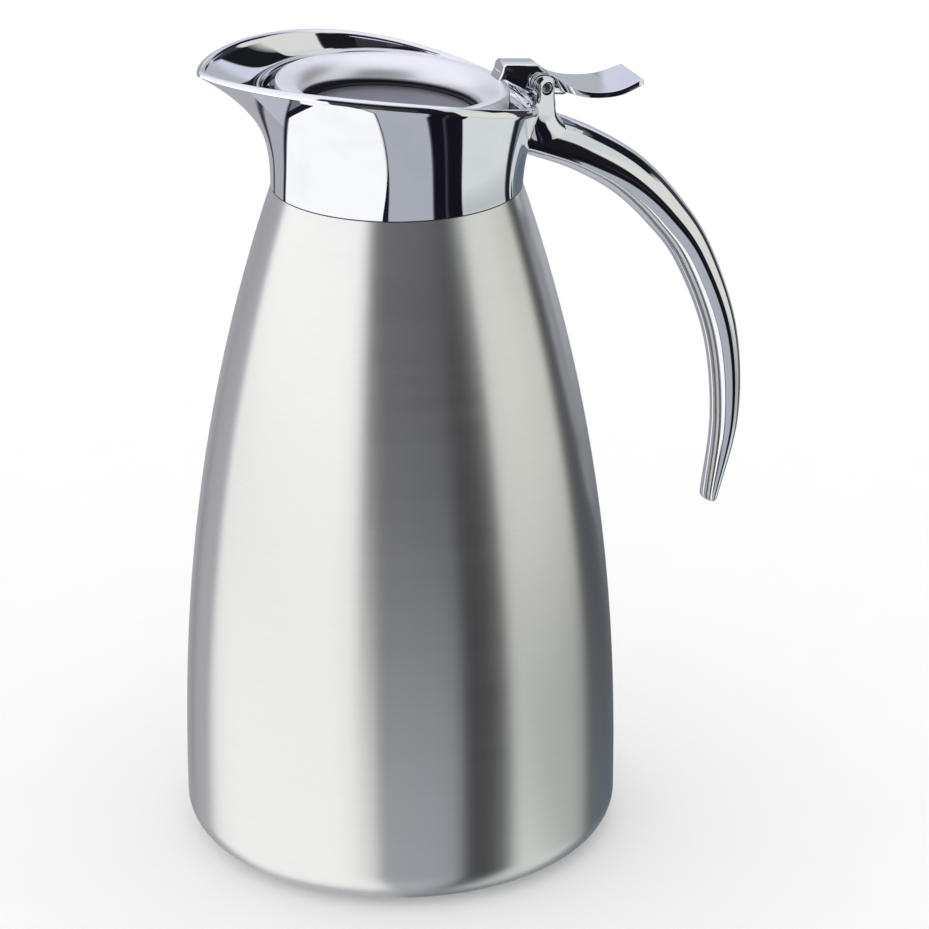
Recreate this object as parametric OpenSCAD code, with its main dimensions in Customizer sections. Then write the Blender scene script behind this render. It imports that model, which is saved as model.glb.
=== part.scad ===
// Vacuum carafe with a flip lid, a spouted collar and an open handle.
// Millimetres. The origin is the middle of the base, on the surface it stands on.
// +Z is up, +X points to the handle and the hinge, and the spout looks along -X.

/* [Body] */
// Radius of the body just above the rounded base edge
base_r = 65.05; // [60:0.05:70]
// Radius of the rounding between the base and the wall
base_round = 9.9; // [6:0.1:14]
// Radius of the body under the collar
shoulder_r = 36.3; // [35.5:0.1:36.8]
// Height of the joint between the body and the collar
shoulder_z = 201.6; // [190:0.1:210]
// Height up to which the body is straight
straight_z = 14; // [12:1:20]
// How late the wall draws in: 1 is a cone, higher stays full for longer
wall_power = 2.19; // [1.8:0.01:2.6]
// Thickness of the outer steel shell
shell_t = 0.6; // [0.5:0.1:1.2]
// Vacuum gap between the shell and the flask
vacuum_gap = 5; // [3:0.5:8]
// Thickness of the inner steel flask
flask_t = 0.5; // [0.4:0.1:1]
// Outer radius of the neck that stands up inside the collar
neck_r = 33.4; // [33:0.1:33.6]
// Height of the lip where shell and flask are welded together
lip_z = 216.5; // [215:0.5:217]

/* [Collar and spout] */
// Outer radius of the collar at the joint with the body
collar_r = 36.4; // [36.3:0.05:36.6]
// Bore of the collar around the neck
collar_bore_r = 34.95; // [34.85:0.05:35.1]
// Rim radius away from the spout
rim_r = 41; // [40.5:0.1:42]
// How far the spout reaches beyond the rest of the rim
spout_reach = 17.7; // [12:0.1:20]
// Angle from the tip at which the spout has fallen to about a third
spout_angle = 41.3; // [35:0.1:50]
// Height of the rim at the spout tip
tip_z = 240.6; // [239:0.1:242]
// Height of the rim at the hinge
hinge_rim_z = 224.5; // [224:0.1:225.5]
// Radius of the rounded lip
lip_bead_r = 1.3; // [1.1:0.1:1.4]
// How far the mouth's ring sits towards the spout
mouth_shift = 1.4; // [1:0.1:1.8]
// Outer radius of the seat ring round the lid
seat_r = 38.8; // [38.6:0.1:39]
// Height of the seat ring at the spout
seat_top_z = 231.9; // [231.5:0.1:232.3]
// Height of the seat ring at the hinge
seat_hinge_z = 222.4; // [222.2:0.1:222.8]

/* [Lid] */
// How far the lid sits towards the spout
lid_shift = 1.05; // [0.9:0.05:1.2]
// Tilt of the lid cap towards the hinge, degrees
lid_tilt = 3.6; // [3.2:0.1:3.8]
// Outer radius of the lid cap
lid_r = 33.5; // [33.3:0.1:33.7]
// Radius at the crest of the lid's dish
crest_r = 32.3; // [32:0.1:32.5]
// Height of that crest over the middle of the lid
crest_z = 232; // [231.8:0.1:232.2]
// Radius of the sunken disc
recess_r = 25.2; // [25:0.1:25.6]
// Height of the sunken disc
recess_z = 224.2; // [224:0.1:225]
// Thickness of the lid cap's sheet
cap_t = 1; // [0.8:0.1:1.2]
// Radius of the stopper under the lid
stopper_r = 29; // [28.5:0.1:29.5]
// Height of the underside of the stopper
stopper_z = 212; // [211:0.5:213]

/* [Hinge and handle] */
// Distance of the hinge pin from the axis of the body
pin_x = 43.1; // [43:0.05:43.2]
// Height of the hinge pin
pin_z = 227.7; // [227.6:0.05:227.8]
// Radius of the hinge pin
pin_r = 1.6; // [1.5:0.05:1.7]
// Running clearance between the pin and the lever, on the radius
pin_clearance = 0.05; // [0.02:0.01:0.1]
// Width over both ears
ears_w = 18; // [17.8:0.1:18.4]
// Thickness of one ear
ear_t = 2.6; // [2.5:0.1:2.7]
// Width of the thumb plate
plate_w = 16.6; // [16:0.2:17]
// Width of the lever's neck, which leaves room for a coil on each side
lever_w = 7.6; // [7.2:0.1:7.6]

/* [Hidden] */

steel = [0.74, 0.73, 0.71];
chrome = [0.84, 0.85, 0.88];
dark_steel = [0.55, 0.55, 0.57];
black = [0.10, 0.10, 0.11];
round_fn = 96;

// ---- curves --------------------------------------------------------------

// Points on an arc, from angle a to angle b, in n steps
function arc(cx, cy, r, a, b, n = 8) =
    [for (i = [0:n]) let (t = a + (b - a) * i / n) [cx + r * cos(t), cy + r * sin(t)]];

// One value of a Catmull-Rom curve between p1 and p2
function cr(p0, p1, p2, p3, t) =
    0.5 * (2 * p1 + (p2 - p0) * t + (2 * p0 - 5 * p1 + 4 * p2 - p3) * t * t
    + (3 * p1 - p0 - 3 * p2 + p3) * t * t * t);

// A smooth curve through a list of points or stations, with n steps between each pair
function smooth_path(p, n) = let (last = len(p) - 1) concat(
    [for (i = [0:last - 1]) for (k = [0:n - 1])
        cr(i == 0 ? 2 * p[0] - p[1] : p[i - 1], p[i], p[i + 1],
           i == last - 1 ? 2 * p[last] - p[last - 1] : p[i + 2], k / n)],
    [p[last]]);

// The same open line moved sideways by d, to its right
function beside(p, d) = let (last = len(p) - 1) [for (i = [0:last])
    let (q = p[min(i + 1, last)] - p[max(i - 1, 0)], u = q / norm(q)) p[i] + d * [u[1], -u[0]]];

function reversed(p) = [for (i = [len(p) - 1:-1:0]) p[i]];

// ---- body ----------------------------------------------------------------

wall_steps = 30;
foot_r = 50;            // inner edge of the flat ring the carafe stands on
recess_up = 2.6;        // how far the base plate sits above the table
flask_floor_z = 9;

// Radius of the body's outside at height z
function wall_r(z) = z <= straight_z ? base_r
    : base_r - (base_r - shoulder_r) * pow((z - straight_z) / (shoulder_z - straight_z), wall_power);

// The body's side, drawn in by d, from z0 to z1
function wall_line(d, z0, z1) = [for (i = [0:wall_steps])
    let (z = z0 + (z1 - z0) * i / wall_steps) [wall_r(z) - d, z]];

module outer_shell() {
    wall_start = base_round + 2;
    outer = concat([[foot_r, 0]], arc(base_r - base_round, base_round, base_round, -90, 0),
        wall_line(0, wall_start, shoulder_z),
        [[neck_r + 0.6, shoulder_z], [neck_r, shoulder_z + 0.6], [neck_r, lip_z]]);
    inner = concat([[neck_r - shell_t, lip_z], [neck_r - shell_t, shoulder_z - 0.6]],
        reversed(wall_line(shell_t * 1.05, wall_start, shoulder_z - 1)),
        arc(base_r - base_round, base_round, base_round - shell_t, 0, -90),
        [[foot_r + shell_t, shell_t], [foot_r + shell_t, recess_up], [foot_r, recess_up]]);
    color(steel) rotate_extrude($fn = round_fn) polygon(concat(outer, inner));
}

// Pressed bottom of the shell, with the dimple that holds the pump hole
module base_plate() {
    dimple_r = 11;
    color(steel) rotate_extrude($fn = round_fn) polygon([
        [2.5, recess_up + 1.6], [dimple_r - 1, recess_up + 1.6], [dimple_r + 1, recess_up],
        [foot_r - 0.02, recess_up], [foot_r - 0.02, recess_up + 0.8], [dimple_r + 1.4, recess_up + 0.8],
        [dimple_r - 0.6, recess_up + 2.4], [2.5, recess_up + 2.4]]);
}

// Radius of the flask's outside at height z
function flask_r(z) = wall_r(z) - shell_t - vacuum_gap;

module inner_flask() {
    floor_round = 16;
    neck_in = neck_r - shell_t - 0.02;
    z_top = shoulder_z - 14;
    side = [for (i = [0:wall_steps]) let (z = flask_floor_z + floor_round + 2
        + (z_top - flask_floor_z - floor_round - 2) * i / wall_steps) [flask_r(z), z]];
    r0 = base_r - shell_t - vacuum_gap;
    bottom = arc(r0 - floor_round, flask_floor_z + floor_round, floor_round, -90, 0);
    outer = concat([[0, flask_floor_z]], bottom, side,
        [[neck_in - 0.5, shoulder_z - 2], [neck_in, shoulder_z + 1], [neck_in, lip_z]]);
    inner = concat([[neck_in - flask_t, lip_z], [neck_in - flask_t, shoulder_z + 1],
        [neck_in - flask_t - 0.5, shoulder_z - 2]],
        [for (i = [wall_steps:-1:0]) [side[i][0] - flask_t * 1.05, side[i][1]]],
        arc(r0 - floor_round, flask_floor_z + floor_round, floor_round - flask_t, 0, -90),
        [[0, flask_floor_z + flask_t]]);
    color(dark_steel) rotate_extrude($fn = round_fn) polygon(concat(outer, inner));
}

// Pellet under the flask that soaks up stray gas and keeps the vacuum
module getter()
    color(dark_steel) translate([22, 0, flask_floor_z - 2.2]) cylinder(r = 5, h = 2.2, $fn = 48);

// Plug melted into the pump hole once the air is out
module vacuum_seal()
    color([0.62, 0.60, 0.55]) rotate_extrude($fn = 48) polygon([
        [0, recess_up + 0.9], [3.4, recess_up + 0.9], [4, recess_up + 1.2], [4, recess_up + 1.6],
        [2.5, recess_up + 1.6], [2.5, recess_up + 2.4], [0, recess_up + 2.4]]);

// Cover pressed into the base, which hides the pump hole
module base_cap()
    color(steel) difference() {
        translate([0, 0, 0.8]) cylinder(r = foot_r - 0.1, h = recess_up - 0.8, $fn = round_fn);
        translate([0, 0, 1.5]) cylinder(r = foot_r - 2, h = 4, $fn = round_fn);
    }

// ---- collar --------------------------------------------------------------

collar_z = shoulder_z + 0.4;    // lower edge, above the black seal
rim_columns = 72;
wall_rows = 12;
bead_rows = 5;
funnel_rows = 6;
ledge_z = lip_z + 1.5;          // where the mouth narrows to the collar's bore
ring_w = 2.2;                   // width of the seat ring
ring_h = 3;                     // height of the seat ring

// Thin black ring that shows as the dark line under the collar
module collar_seal()
    color(black) translate([0, 0, shoulder_z]) difference() {
        cylinder(r = shoulder_r - 0.2, h = collar_z - shoulder_z, $fn = round_fn);
        translate([0, 0, -1]) cylinder(r = neck_r + 0.7, h = 3, $fn = round_fn);
    }

// Rim radius at the angle a from the spout, in degrees
function rim_radius(a) = rim_r + spout_reach * exp(-pow(abs(a) / spout_angle, 1.3));

// Rim height: it falls towards the hinge, faster and faster
function rim_height(a) = let (x = -rim_radius(a) * cos(a), tip = rim_r + spout_reach)
    tip_z - (tip_z - hinge_rim_z) * pow((x + tip) / (rim_r + tip), 2.2);

// How suddenly the wall flares at the angle a: late at the spout, early at the hinge
function flare_power(a) = 1.6 + 1.1 * exp(-pow(abs(a) / 60, 2));

// Outside radius of the collar at the angle a and height z
function collar_radius(a, z) = let (top = rim_height(a) - lip_bead_r)
    collar_r + (rim_radius(a) - collar_r)
        * pow(min(1, max(0, (z - collar_z) / (top - collar_z))), flare_power(a));

// Distance from the body's axis, at the angle a, to a circle of radius r round the mouth's axis
function mouth_reach(a, r) = mouth_shift * cos(a) + sqrt(r * r - pow(mouth_shift * sin(a), 2));

// Height of the seat ring's top at the angle a: level round the spout, then falling to the hinge
function seat_height(a) = let (x = -mouth_reach(a, seat_r) * cos(a))
    seat_top_z - (seat_top_z - seat_hinge_z) * pow((x + seat_r + mouth_shift) / (2 * seat_r), 5);

// Angles round the rim, closer together at the spout
function rim_angle(i) = let (u = 2 * i / rim_columns - 1) sign(u) * 180 * pow(abs(u), 1.25);

// Section of the collar at the angle a: outside wall, rounded lip, funnel, ledge and bore
function collar_section(a) = let (
        top = rim_height(a) - lip_bead_r, r = rim_radius(a), in_r = r - 2 * lip_bead_r,
        s = seat_height(a), ring_out = mouth_reach(a, seat_r + 0.05),
        ring_in = mouth_reach(a, seat_r - ring_w))
    concat(
        [for (k = [0:wall_rows])
            let (z = collar_z + (top - collar_z) * k / wall_rows) [collar_radius(a, z), z]],
        [for (k = [1:bead_rows]) let (t = 180 * k / bead_rows)
            [r - lip_bead_r + lip_bead_r * cos(t), top + lip_bead_r * sin(t)]],
        [for (k = [1:funnel_rows]) let (t = k / funnel_rows)
            [in_r + (ring_out - in_r) * t, s - 0.3 + (top - s + 0.3) * pow(1 - t, 1.5)]],
        [[ring_out, s - ring_h - 0.05], [ring_in, s - ring_h - 0.05],
         [collar_bore_r, ledge_z], [collar_bore_r, collar_z]]);

// Skins a closed loop of sections that stand round the body's axis
module ring_loft(sections) {
    n = len(sections);
    rows = len(sections[0]);
    points = [for (i = [0:n - 1]) let (a = rim_angle(i * rim_columns / n))
        for (p = sections[i]) [-p[0] * cos(a), -p[0] * sin(a), p[1]]];
    faces = [for (i = [0:n - 1]) for (k = [0:rows - 1]) for (h = [0:1])
        let (a = i * rows, b = ((i + 1) % n) * rows, m = (k + 1) % rows)
            h == 0 ? [a + k, a + m, b + m] : [a + k, b + m, b + k]];
    polyhedron(points, faces, convexity = 6);
}

screw_z = [208.6, 214.4];

// Chromed casting with the pouring spout
module spout_collar()
    color(chrome) difference() {
        ring_loft([for (i = [0:rim_columns - 1]) collar_section(rim_angle(i))]);
        for (z = screw_z) translate([collar_bore_r - 2, 0, z]) rotate([0, 90, 0]) {
            cylinder(r = 1.6, h = 8, $fn = 32);
            cylinder(r = 2.6, h = 2.9, $fn = 32);
        }
    }

// Threaded plastic ring that holds the collar down on the neck
module neck_ring()
    color(black) rotate_extrude($fn = round_fn) polygon([
        [neck_r + 0.05, collar_z + 1.5], [collar_bore_r - 0.05, collar_z + 1.5],
        [collar_bore_r - 0.05, lip_z + 2.3], [collar_bore_r - 0.65, lip_z + 2.9], [32.3, lip_z + 2.9],
        [31.8, lip_z + 2.4], [31.8, lip_z + 1.1], [neck_r + 0.05, lip_z + 1.1]]);

// Silicone washer between the neck's lip and the plastic ring
module neck_gasket()
    color([0.85, 0.85, 0.83]) translate([0, 0, lip_z]) difference() {
        cylinder(r = neck_r, h = 1.1, $fn = round_fn);
        translate([0, 0, -1]) cylinder(r = neck_r - shell_t - flask_t - 0.02, h = 4, $fn = round_fn);
    }

// Section of the seat ring at the angle a, with a rounded top
function seat_section(a) = let (
        half = ring_w / 2, s = seat_height(a) - half, foot = seat_height(a) - ring_h)
    concat([[mouth_reach(a, seat_r - ring_w), foot], [mouth_reach(a, seat_r), foot]],
        [for (t = [0:30:180]) [mouth_reach(a, seat_r - half * (1 - cos(t))), s + half * sin(t)]]);

// Polished ring round the lid, level at the spout and falling towards the hinge like the rim
module seat_ring()
    color(dark_steel) ring_loft([for (i = [0:rim_columns - 1]) seat_section(rim_angle(i))]);

// ---- handle --------------------------------------------------------------

// Stations down the handle: x, z, half depth, half width, and how far the widest line lies inwards
handle_stations = [
    [36.0, 214.5, 7.3, 8.5, 0.50],
    [43.2, 212.0, 7.3, 8.4, 0.50],
    [56.8, 205.9, 7.2, 8.2, 0.50],
    [71.0, 196.6, 7.1, 7.7, 0.48],
    [82.7, 184.5, 6.7, 7.1, 0.44],
    [93.0, 169.3, 6.1, 6.4, 0.40],
    [102.3, 144.0, 5.4, 5.7, 0.34],
    [104.7, 116.2, 4.4, 5.0, 0.28],
    [100.1, 89.2, 2.4, 4.2, 0.20],
];
handle_steps = 5;
handle_sides = 20;
inner_share = 0.9;      // depth of the section's inner half against its outer half

// A point on the handle's section: a long dome outwards, a flatter side inwards
function egg(t, depth, width, shift) = let (c = cos(t))
    [depth * ((c > 0 ? 1 + shift : inner_share - shift) * c - shift), width * sin(t)];

// Faces that skin n rings of points, each with the given number of sides, and close both ends
function tube_faces(n, sides) = let (z = (n - 1) * sides) concat(
    [for (i = [0:n - 2]) for (k = [0:sides - 1]) for (h = [0:1])
        let (a = i * sides, b = a + sides, m = (k + 1) % sides)
            h == 0 ? [a + k, a + m, b + m] : [a + k, b + m, b + k]],
    [for (k = [1:sides - 2]) [0, k + 1, k]],
    [for (k = [1:sides - 2]) [z, z + k, z + k + 1]]);

module handle_bow() {
    line = smooth_path(handle_stations, handle_steps);
    n = len(line);
    points = [for (i = [0:n - 1]) let (
            p = line[i], q = line[min(i + 1, n - 1)] - line[max(i - 1, 0)],
            len_q = norm([q[0], q[1]]), nx = -q[1] / len_q, nz = q[0] / len_q)
        for (k = [0:handle_sides - 1]) let (o = egg(360 * k / handle_sides, p[2], p[3], p[4]))
            [p[0] + nx * o[0], o[1], p[1] + nz * o[0]]];
    polyhedron(points, tube_faces(n, handle_sides), convexity = 4);
}

module side_slab(w, outline)
    rotate([90, 0, 0]) linear_extrude(height = w, center = true) polygon(outline);

// A round bar along the hinge axis
module hinge_bar(r, w)
    translate([pin_x, 0, pin_z]) rotate([90, 0, 0]) cylinder(r = r, h = w, center = true, $fn = 64);

// Level sections up the root and the ears: height, front, back, half width, taper towards the
// back, and squareness, where 2 is an ellipse
ear_sections = [
    [204, 34.0, 56.0, 7.8, 0.00, 2.0],
    [209, 34.0, 57.0, 8.3, 0.02, 2.0],
    [212, 34.0, 56.0, 8.5, 0.03, 2.2],
    [214, 34.0, 52.6, 8.6, 0.06, 2.4],
    [216, 35.0, 50.0, 8.8, 0.12, 2.8],
    [218, 36.0, 48.3, 8.9, 0.18, 3.4],
    [220, 37.0, 47.2, 9.0, 0.22, 4.5],
    [222, 37.4, 46.6, 9.0, 0.24, 6.0],
    [223.4, 38.4, 46.3, 9.0, 0.25, 7.0],
    [225, 40.1, 46.2, 9.0, 0.25, 7.0],
    [232, 40.1, 46.2, 9.0, 0.25, 7.0],
];
ear_widest_x = 41;
ear_sides = 28;

function powered(v, power) = sign(v) * pow(abs(v), power);

// One level section as a closed ring of points
function ear_ring(s) = [for (k = [0:ear_sides - 1]) let (
        t = -360 * k / ear_sides, c = powered(cos(t), 2 / s[5]), d = powered(sin(t), 2 / s[5]),
        x = c * (c > 0 ? s[2] - ear_widest_x : ear_widest_x - s[1]))
    [ear_widest_x + x, d * (s[3] - s[4] * x), s[0]]];

ear_r = 3.05;
ear_top_z = 224.5;      // where the round tops begin
slot_floor_z = 221.2;
// Side view of the ears: free below, round over the pin
ear_outline = concat([[30, 200], [60, 200], [60, ear_top_z], [pin_x + 0.1 + ear_r, ear_top_z]],
    arc(pin_x + 0.1, pin_z + 0.2, ear_r, 0, 180, 12),
    [[pin_x + 0.1 - ear_r, ear_top_z], [30, ear_top_z]]);
pin_end_y = 7.7;        // how far the pin reaches to each side

// Root and ears in one: square and tapered at the top, flowing into the bow below
module ear_block() {
    rings = [for (s = ear_sections) ear_ring(s)];
    intersection() {
        polyhedron([for (ring = rings) for (p = ring) p], tube_faces(len(rings), ear_sides), convexity = 4);
        side_slab(ears_w + 2, ear_outline);
    }
}

// Chromed casting: open bow, root and the two ears that carry the pin
module handle()
    color(chrome) difference() {
        union() {
            handle_bow();
            ear_block();
        }
        // room for the lever between the ears
        translate([30, ear_t - ears_w / 2, slot_floor_z]) cube([40, ears_w - 2 * ear_t, 20]);
        // the collar's outside, which the root is fitted to
        rotate_extrude($fn = round_fn) polygon(concat([[0, 190], [collar_r + 0.12, 190]],
            [for (z = [202:2:222]) [collar_radius(180, z) + 0.12, z]],
            [[rim_r + 0.12, hinge_rim_z - 1], [rim_r + 0.12, 226], [rim_r - 1, 245], [0, 245]]));
        hinge_bar(pin_r, 40);
        // shallow counterbores, in which the pin's ends sit
        for (y = [-1, 1]) translate([0, y * (pin_end_y + 3.8), 0]) hinge_bar(pin_r + 0.4, 8);
        for (z = screw_z) translate([36, 0, z]) rotate([0, 90, 0]) cylinder(r = 1.5, h = 11, $fn = 32);
    }

// Two screws from inside the collar into the handle's root
module handle_screws()
    color(dark_steel) for (z = screw_z) translate([collar_bore_r + 0.1, 0, z]) rotate([0, 90, 0]) {
        cylinder(r = 1.5, h = 10.8, $fn = 32);
        cylinder(r = 2.5, h = 0.75, $fn = 32);
    }

// ---- hinge ---------------------------------------------------------------

module hinge_pin()
    color(dark_steel) hinge_bar(pin_r, 2 * pin_end_y);

spring_wire = 0.6;
spring_r = 2.5;                         // radius of the coils' middle line
spring_rings = 8;                       // rings of points in one turn
coil_in = lever_w / 2 + 0.4;            // nearest the lever's neck
coil_out = ears_w / 2 - ear_t - 0.4;    // nearest the ear
leg_down = [46.3, 221.7];               // end of each fixed leg, over the floor between the ears
leg_plate = [50.4, 224.35];             // where the legs turn across under the thumb plate

// Direction from the pin to an x, z point, its distance, and the angle of the tangent that reaches it
function around_pin(p) = let (d = p - [pin_x, pin_z]) [atan2(d[1], d[0]), norm(d)];
function tangent_angle(p, side) = let (q = around_pin(p)) q[0] + side * acos(spring_r / q[1]);

coil_start = tangent_angle(leg_down, 1);
coil_end = tangent_angle(leg_plate, -1) + 720;
coil_steps = round((coil_end - coil_start) / 360 * spring_rings);

// One coil and its two legs, from the ear inwards to the middle of the bridge under the plate
function spring_half(side) = concat(
    [[leg_down[0], side * coil_out, leg_down[1]]],
    [for (i = [0:coil_steps]) let (s = i / coil_steps, t = coil_start + (coil_end - coil_start) * s)
        [pin_x + spring_r * cos(t), side * (coil_out + (coil_in - coil_out) * s),
         pin_z + spring_r * sin(t)]],
    [[leg_plate[0] - 0.8, side * coil_in, leg_plate[1] + 0.09],
     [leg_plate[0] - 0.2, side * (coil_in - 0.2), leg_plate[1]],
     [leg_plate[0], side * (coil_in - 0.8), leg_plate[1]]]);
spring_line = concat(spring_half(-1), reversed(spring_half(1)));

// Least distance between points of the wire that are half a turn or more apart along it
spring_gap = min([for (i = [0:len(spring_line) - 1])
    for (k = [i + spring_rings / 2:1:len(spring_line) - 1]) norm(spring_line[i] - spring_line[k])])
    - spring_wire;

// A round tube of the given wire along a list of points
module tube(line, wire, sides) {
    n = len(line);
    points = [for (i = [0:n - 1]) let (
            d = line[min(i + 1, n - 1)] - line[max(i - 1, 0)], f = d / norm(d),
            up = abs(f[1]) > 0.8 ? [0, 0, 1] : [0, 1, 0], side = cross(f, up),
            u = side / norm(side), v = cross(f, u))
        for (k = [0:sides - 1]) line[i] + wire / 2 * (v * cos(360 * k / sides) + u * sin(360 * k / sides))];
    polyhedron(points, tube_faces(n, sides), convexity = 10);
}

// Double torsion spring that shuts the lid: a coil on each side of the lever, joined under the plate
module return_spring() {
    echo(least_gap_of_the_spring = spring_gap);
    color(dark_steel) tube(spring_line, spring_wire, 6);
}

// Top and underside of the thumb plate, from the block to its upturned end
plate_top = smooth_path([[43.2, 231.3], [45, 230.6], [47.2, 229.1], [50.3, 227], [54.5, 225.5],
    [60.5, 224.7], [66, 225.2], [72.9, 227.6]], 4);
plate_under = smooth_path([[73.3, 225.8], [69, 224.2], [63, 223.05], [57, 223.35], [50.3, 225],
    [46.4, 225.8]], 4);
plate_corner = 1;
coil_room_r = 3.2;      // kept free round the spring's coils

// Plan of the thumb plate: it fans out behind the ears to its full width
module plate_plan() {
    w = plate_w / 2;
    edge = concat(smooth_path([[42, lever_w / 2], [44, lever_w / 2], [46, 4.4], [48.2, 6], [50.6, 7.7],
        [53.5, w]], 4), arc(73.3 - plate_corner, w - plate_corner, plate_corner, 90, 0, 4));
    polygon(concat(edge, [for (p = reversed(edge)) [p[0], -p[1]]]));
}

barrel_r = 3.5;
foot_x = [29.3, 33.2];      // front and back of the lever's foot on the stopper
foot_z = 226.5;

// Side outline of the lever's block: foot, faceted nose, flat top, and the hook over the rim
block_outline = [[foot_x[0], foot_z], [foot_x[0], 229.1], [30, 230.1], [31, 232.1], [31.5, 233.9],
    [32.3, 234.7], [42.1, 233.7], [43, 232.6], [45.4, 230.8], [47, 228.4], [46.5, 226.2], [39, 225.3],
    [36.3, 225.6], [34.8, 227.3], [foot_x[1], 228.2], [foot_x[1], foot_z]];

lid_screw = [31.1, 1.95];   // x and y of the lid's screws

// Chromed lever: nose on the lid, hook over the rim, barrel on the pin, thumb plate
module thumb_lever()
    color(chrome) difference() {
        union() {
            side_slab(lever_w, block_outline);
            hinge_bar(barrel_r, lever_w);
            difference() {
                intersection() {
                    side_slab(plate_w, concat(plate_top, plate_under));
                    translate([0, 0, 200]) linear_extrude(height = 50) plate_plan();
                }
                for (y = [-1, 1]) translate([0, y * (lever_w / 2 + 5), 0]) hinge_bar(coil_room_r, 10);
            }
        }
        hinge_bar(pin_r + pin_clearance, 40);
        for (y = [-1, 1]) translate([lid_screw[0], y * lid_screw[1], foot_z - 1])
            cylinder(r = 1, h = 6, $fn = 32);
    }

// ---- lid -----------------------------------------------------------------

// Places what is drawn round the lid's own tilted axis, with z counted from the crest
module lid_frame()
    translate([-lid_shift, 0, crest_z]) rotate([0, lid_tilt, 0]) children();

recess_drop = crest_z - recess_z;
edge_round = lid_r - crest_r;
skirt_drop = 7;
groove = [0.8, 0.5];        // width and depth of the dark line round the disc
groove_r = recess_r - 0.5;

// Outside of the cap, from the middle of the sunken disc up the dish to its crest and down its side
cap_top = concat([[0, -recess_drop], [recess_r - 0.6, -recess_drop], [recess_r, -recess_drop + 0.5]],
    [for (t = [10:10:90]) [crest_r - (crest_r - recess_r) * cos(t), -(recess_drop - 0.5) * (1 - sin(t))]],
    arc(crest_r, -edge_round, edge_round, 75, 0, 5),
    [[lid_r, -skirt_drop]]);

// Notch in the lid's edge through which the lever's foot passes
module foot_notch(gap)
    translate([foot_x[0] - gap, -lever_w / 2 - gap, foot_z - 10]) cube([12, lever_w + 2 * gap, 30]);

// Pressed cover of the lid: a dish round a sunken disc
module lid_cap()
    color(chrome) difference() {
        lid_frame() difference() {
            rotate_extrude($fn = round_fn) polygon(concat(cap_top, reversed(beside(cap_top, cap_t))));
            translate([0, 0, -recess_drop - groove[1]]) difference() {
                cylinder(r = groove_r, h = 1, $fn = round_fn);
                translate([0, 0, -1]) cylinder(r = groove_r - groove[0], h = 4, $fn = round_fn);
            }
        }
        foot_notch(0.05);
    }

flange_z = 221.3;
lug = [28, 33.4, 7];        // start, end and width of the lug under the lever's foot
screw_head_h = 1.4;
stopper_taper = 6;          // height of the stopper's tapered lower end

// Plastic stopper under the cap; its flange fills the cap and its cup reaches into the neck
module lid_stopper()
    color(black) difference() {
        union() {
            difference() {
                intersection() {
                    translate([-lid_shift, 0, flange_z])
                        cylinder(r = lid_r - cap_t - 0.2, h = 20, $fn = round_fn);
                    lid_frame() rotate_extrude($fn = round_fn) polygon(concat(
                        [[0, -14], [lid_r - cap_t - 0.1, -14]], reversed(beside(cap_top, cap_t + 0.1))));
                }
                translate([0, 0, 10]) foot_notch(0.1);
            }
            translate([lug[0], -lug[2] / 2, flange_z]) cube([lug[1] - lug[0], lug[2], foot_z - flange_z]);
            translate([0, 0, stopper_z])
                cylinder(r1 = stopper_r - 0.6, r2 = stopper_r, h = stopper_taper, $fn = round_fn);
            translate([0, 0, stopper_z + stopper_taper])
                cylinder(r = stopper_r, h = flange_z - stopper_z - stopper_taper, $fn = round_fn);
        }
        // hollow for the insulating disc
        translate([0, 0, stopper_z + 1.6]) cylinder(r = stopper_r - 2, h = 7.2, $fn = round_fn);
        for (y = [-1, 1]) translate([lid_screw[0], y * lid_screw[1], flange_z - 1]) {
            cylinder(r = 1.1, h = 12, $fn = 32);
            cylinder(r = 1.9, h = 1 + screw_head_h, $fn = 32);
        }
    }

// Foam disc sealed inside the stopper
module lid_insulation()
    color([0.93, 0.92, 0.88]) translate([0, 0, stopper_z + 1.7])
        cylinder(r = stopper_r - 2.1, h = 7, $fn = round_fn);

gasket_r = 32.4;

// Silicone ring that closes on the neck ring
module lid_gasket()
    color([0.85, 0.85, 0.83]) rotate_extrude($fn = round_fn)
        polygon([[stopper_r + 0.02, lip_z + 3.3], [gasket_r - 1, lip_z + 3.3],
            [gasket_r, lip_z + 4], [gasket_r, flange_z - 0.02], [stopper_r + 0.02, flange_z - 0.02]]);

// Two screws from under the lid into the lever's foot
module lid_screws()
    color(dark_steel) for (y = [-1, 1]) translate([lid_screw[0], y * lid_screw[1], flange_z]) {
        cylinder(r = 1, h = 9, $fn = 32);
        cylinder(r = 1.8, h = screw_head_h - 0.05, $fn = 32);
    }

outer_shell();
base_plate();
inner_flask();
getter();
vacuum_seal();
base_cap();
collar_seal();
spout_collar();
neck_ring();
neck_gasket();
seat_ring();
handle();
handle_screws();
hinge_pin();
return_spring();
thumb_lever();
lid_cap();
lid_stopper();
lid_insulation();
lid_gasket();
lid_screws();
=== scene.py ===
# %% [markdown]
# # A steel vacuum carafe with a flip lid
# This lesson builds the looks of a table carafe: a satin steel body, a chromed collar with a
# pouring spout, a chromed bow handle and a sprung lid that a thumb lever opens. The working
# model comes first and stays fixed: every piece made here takes its place and its size from it.

# %% The working model
import math

import bmesh
import bpy
from mathutils import Matrix, Vector


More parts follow.
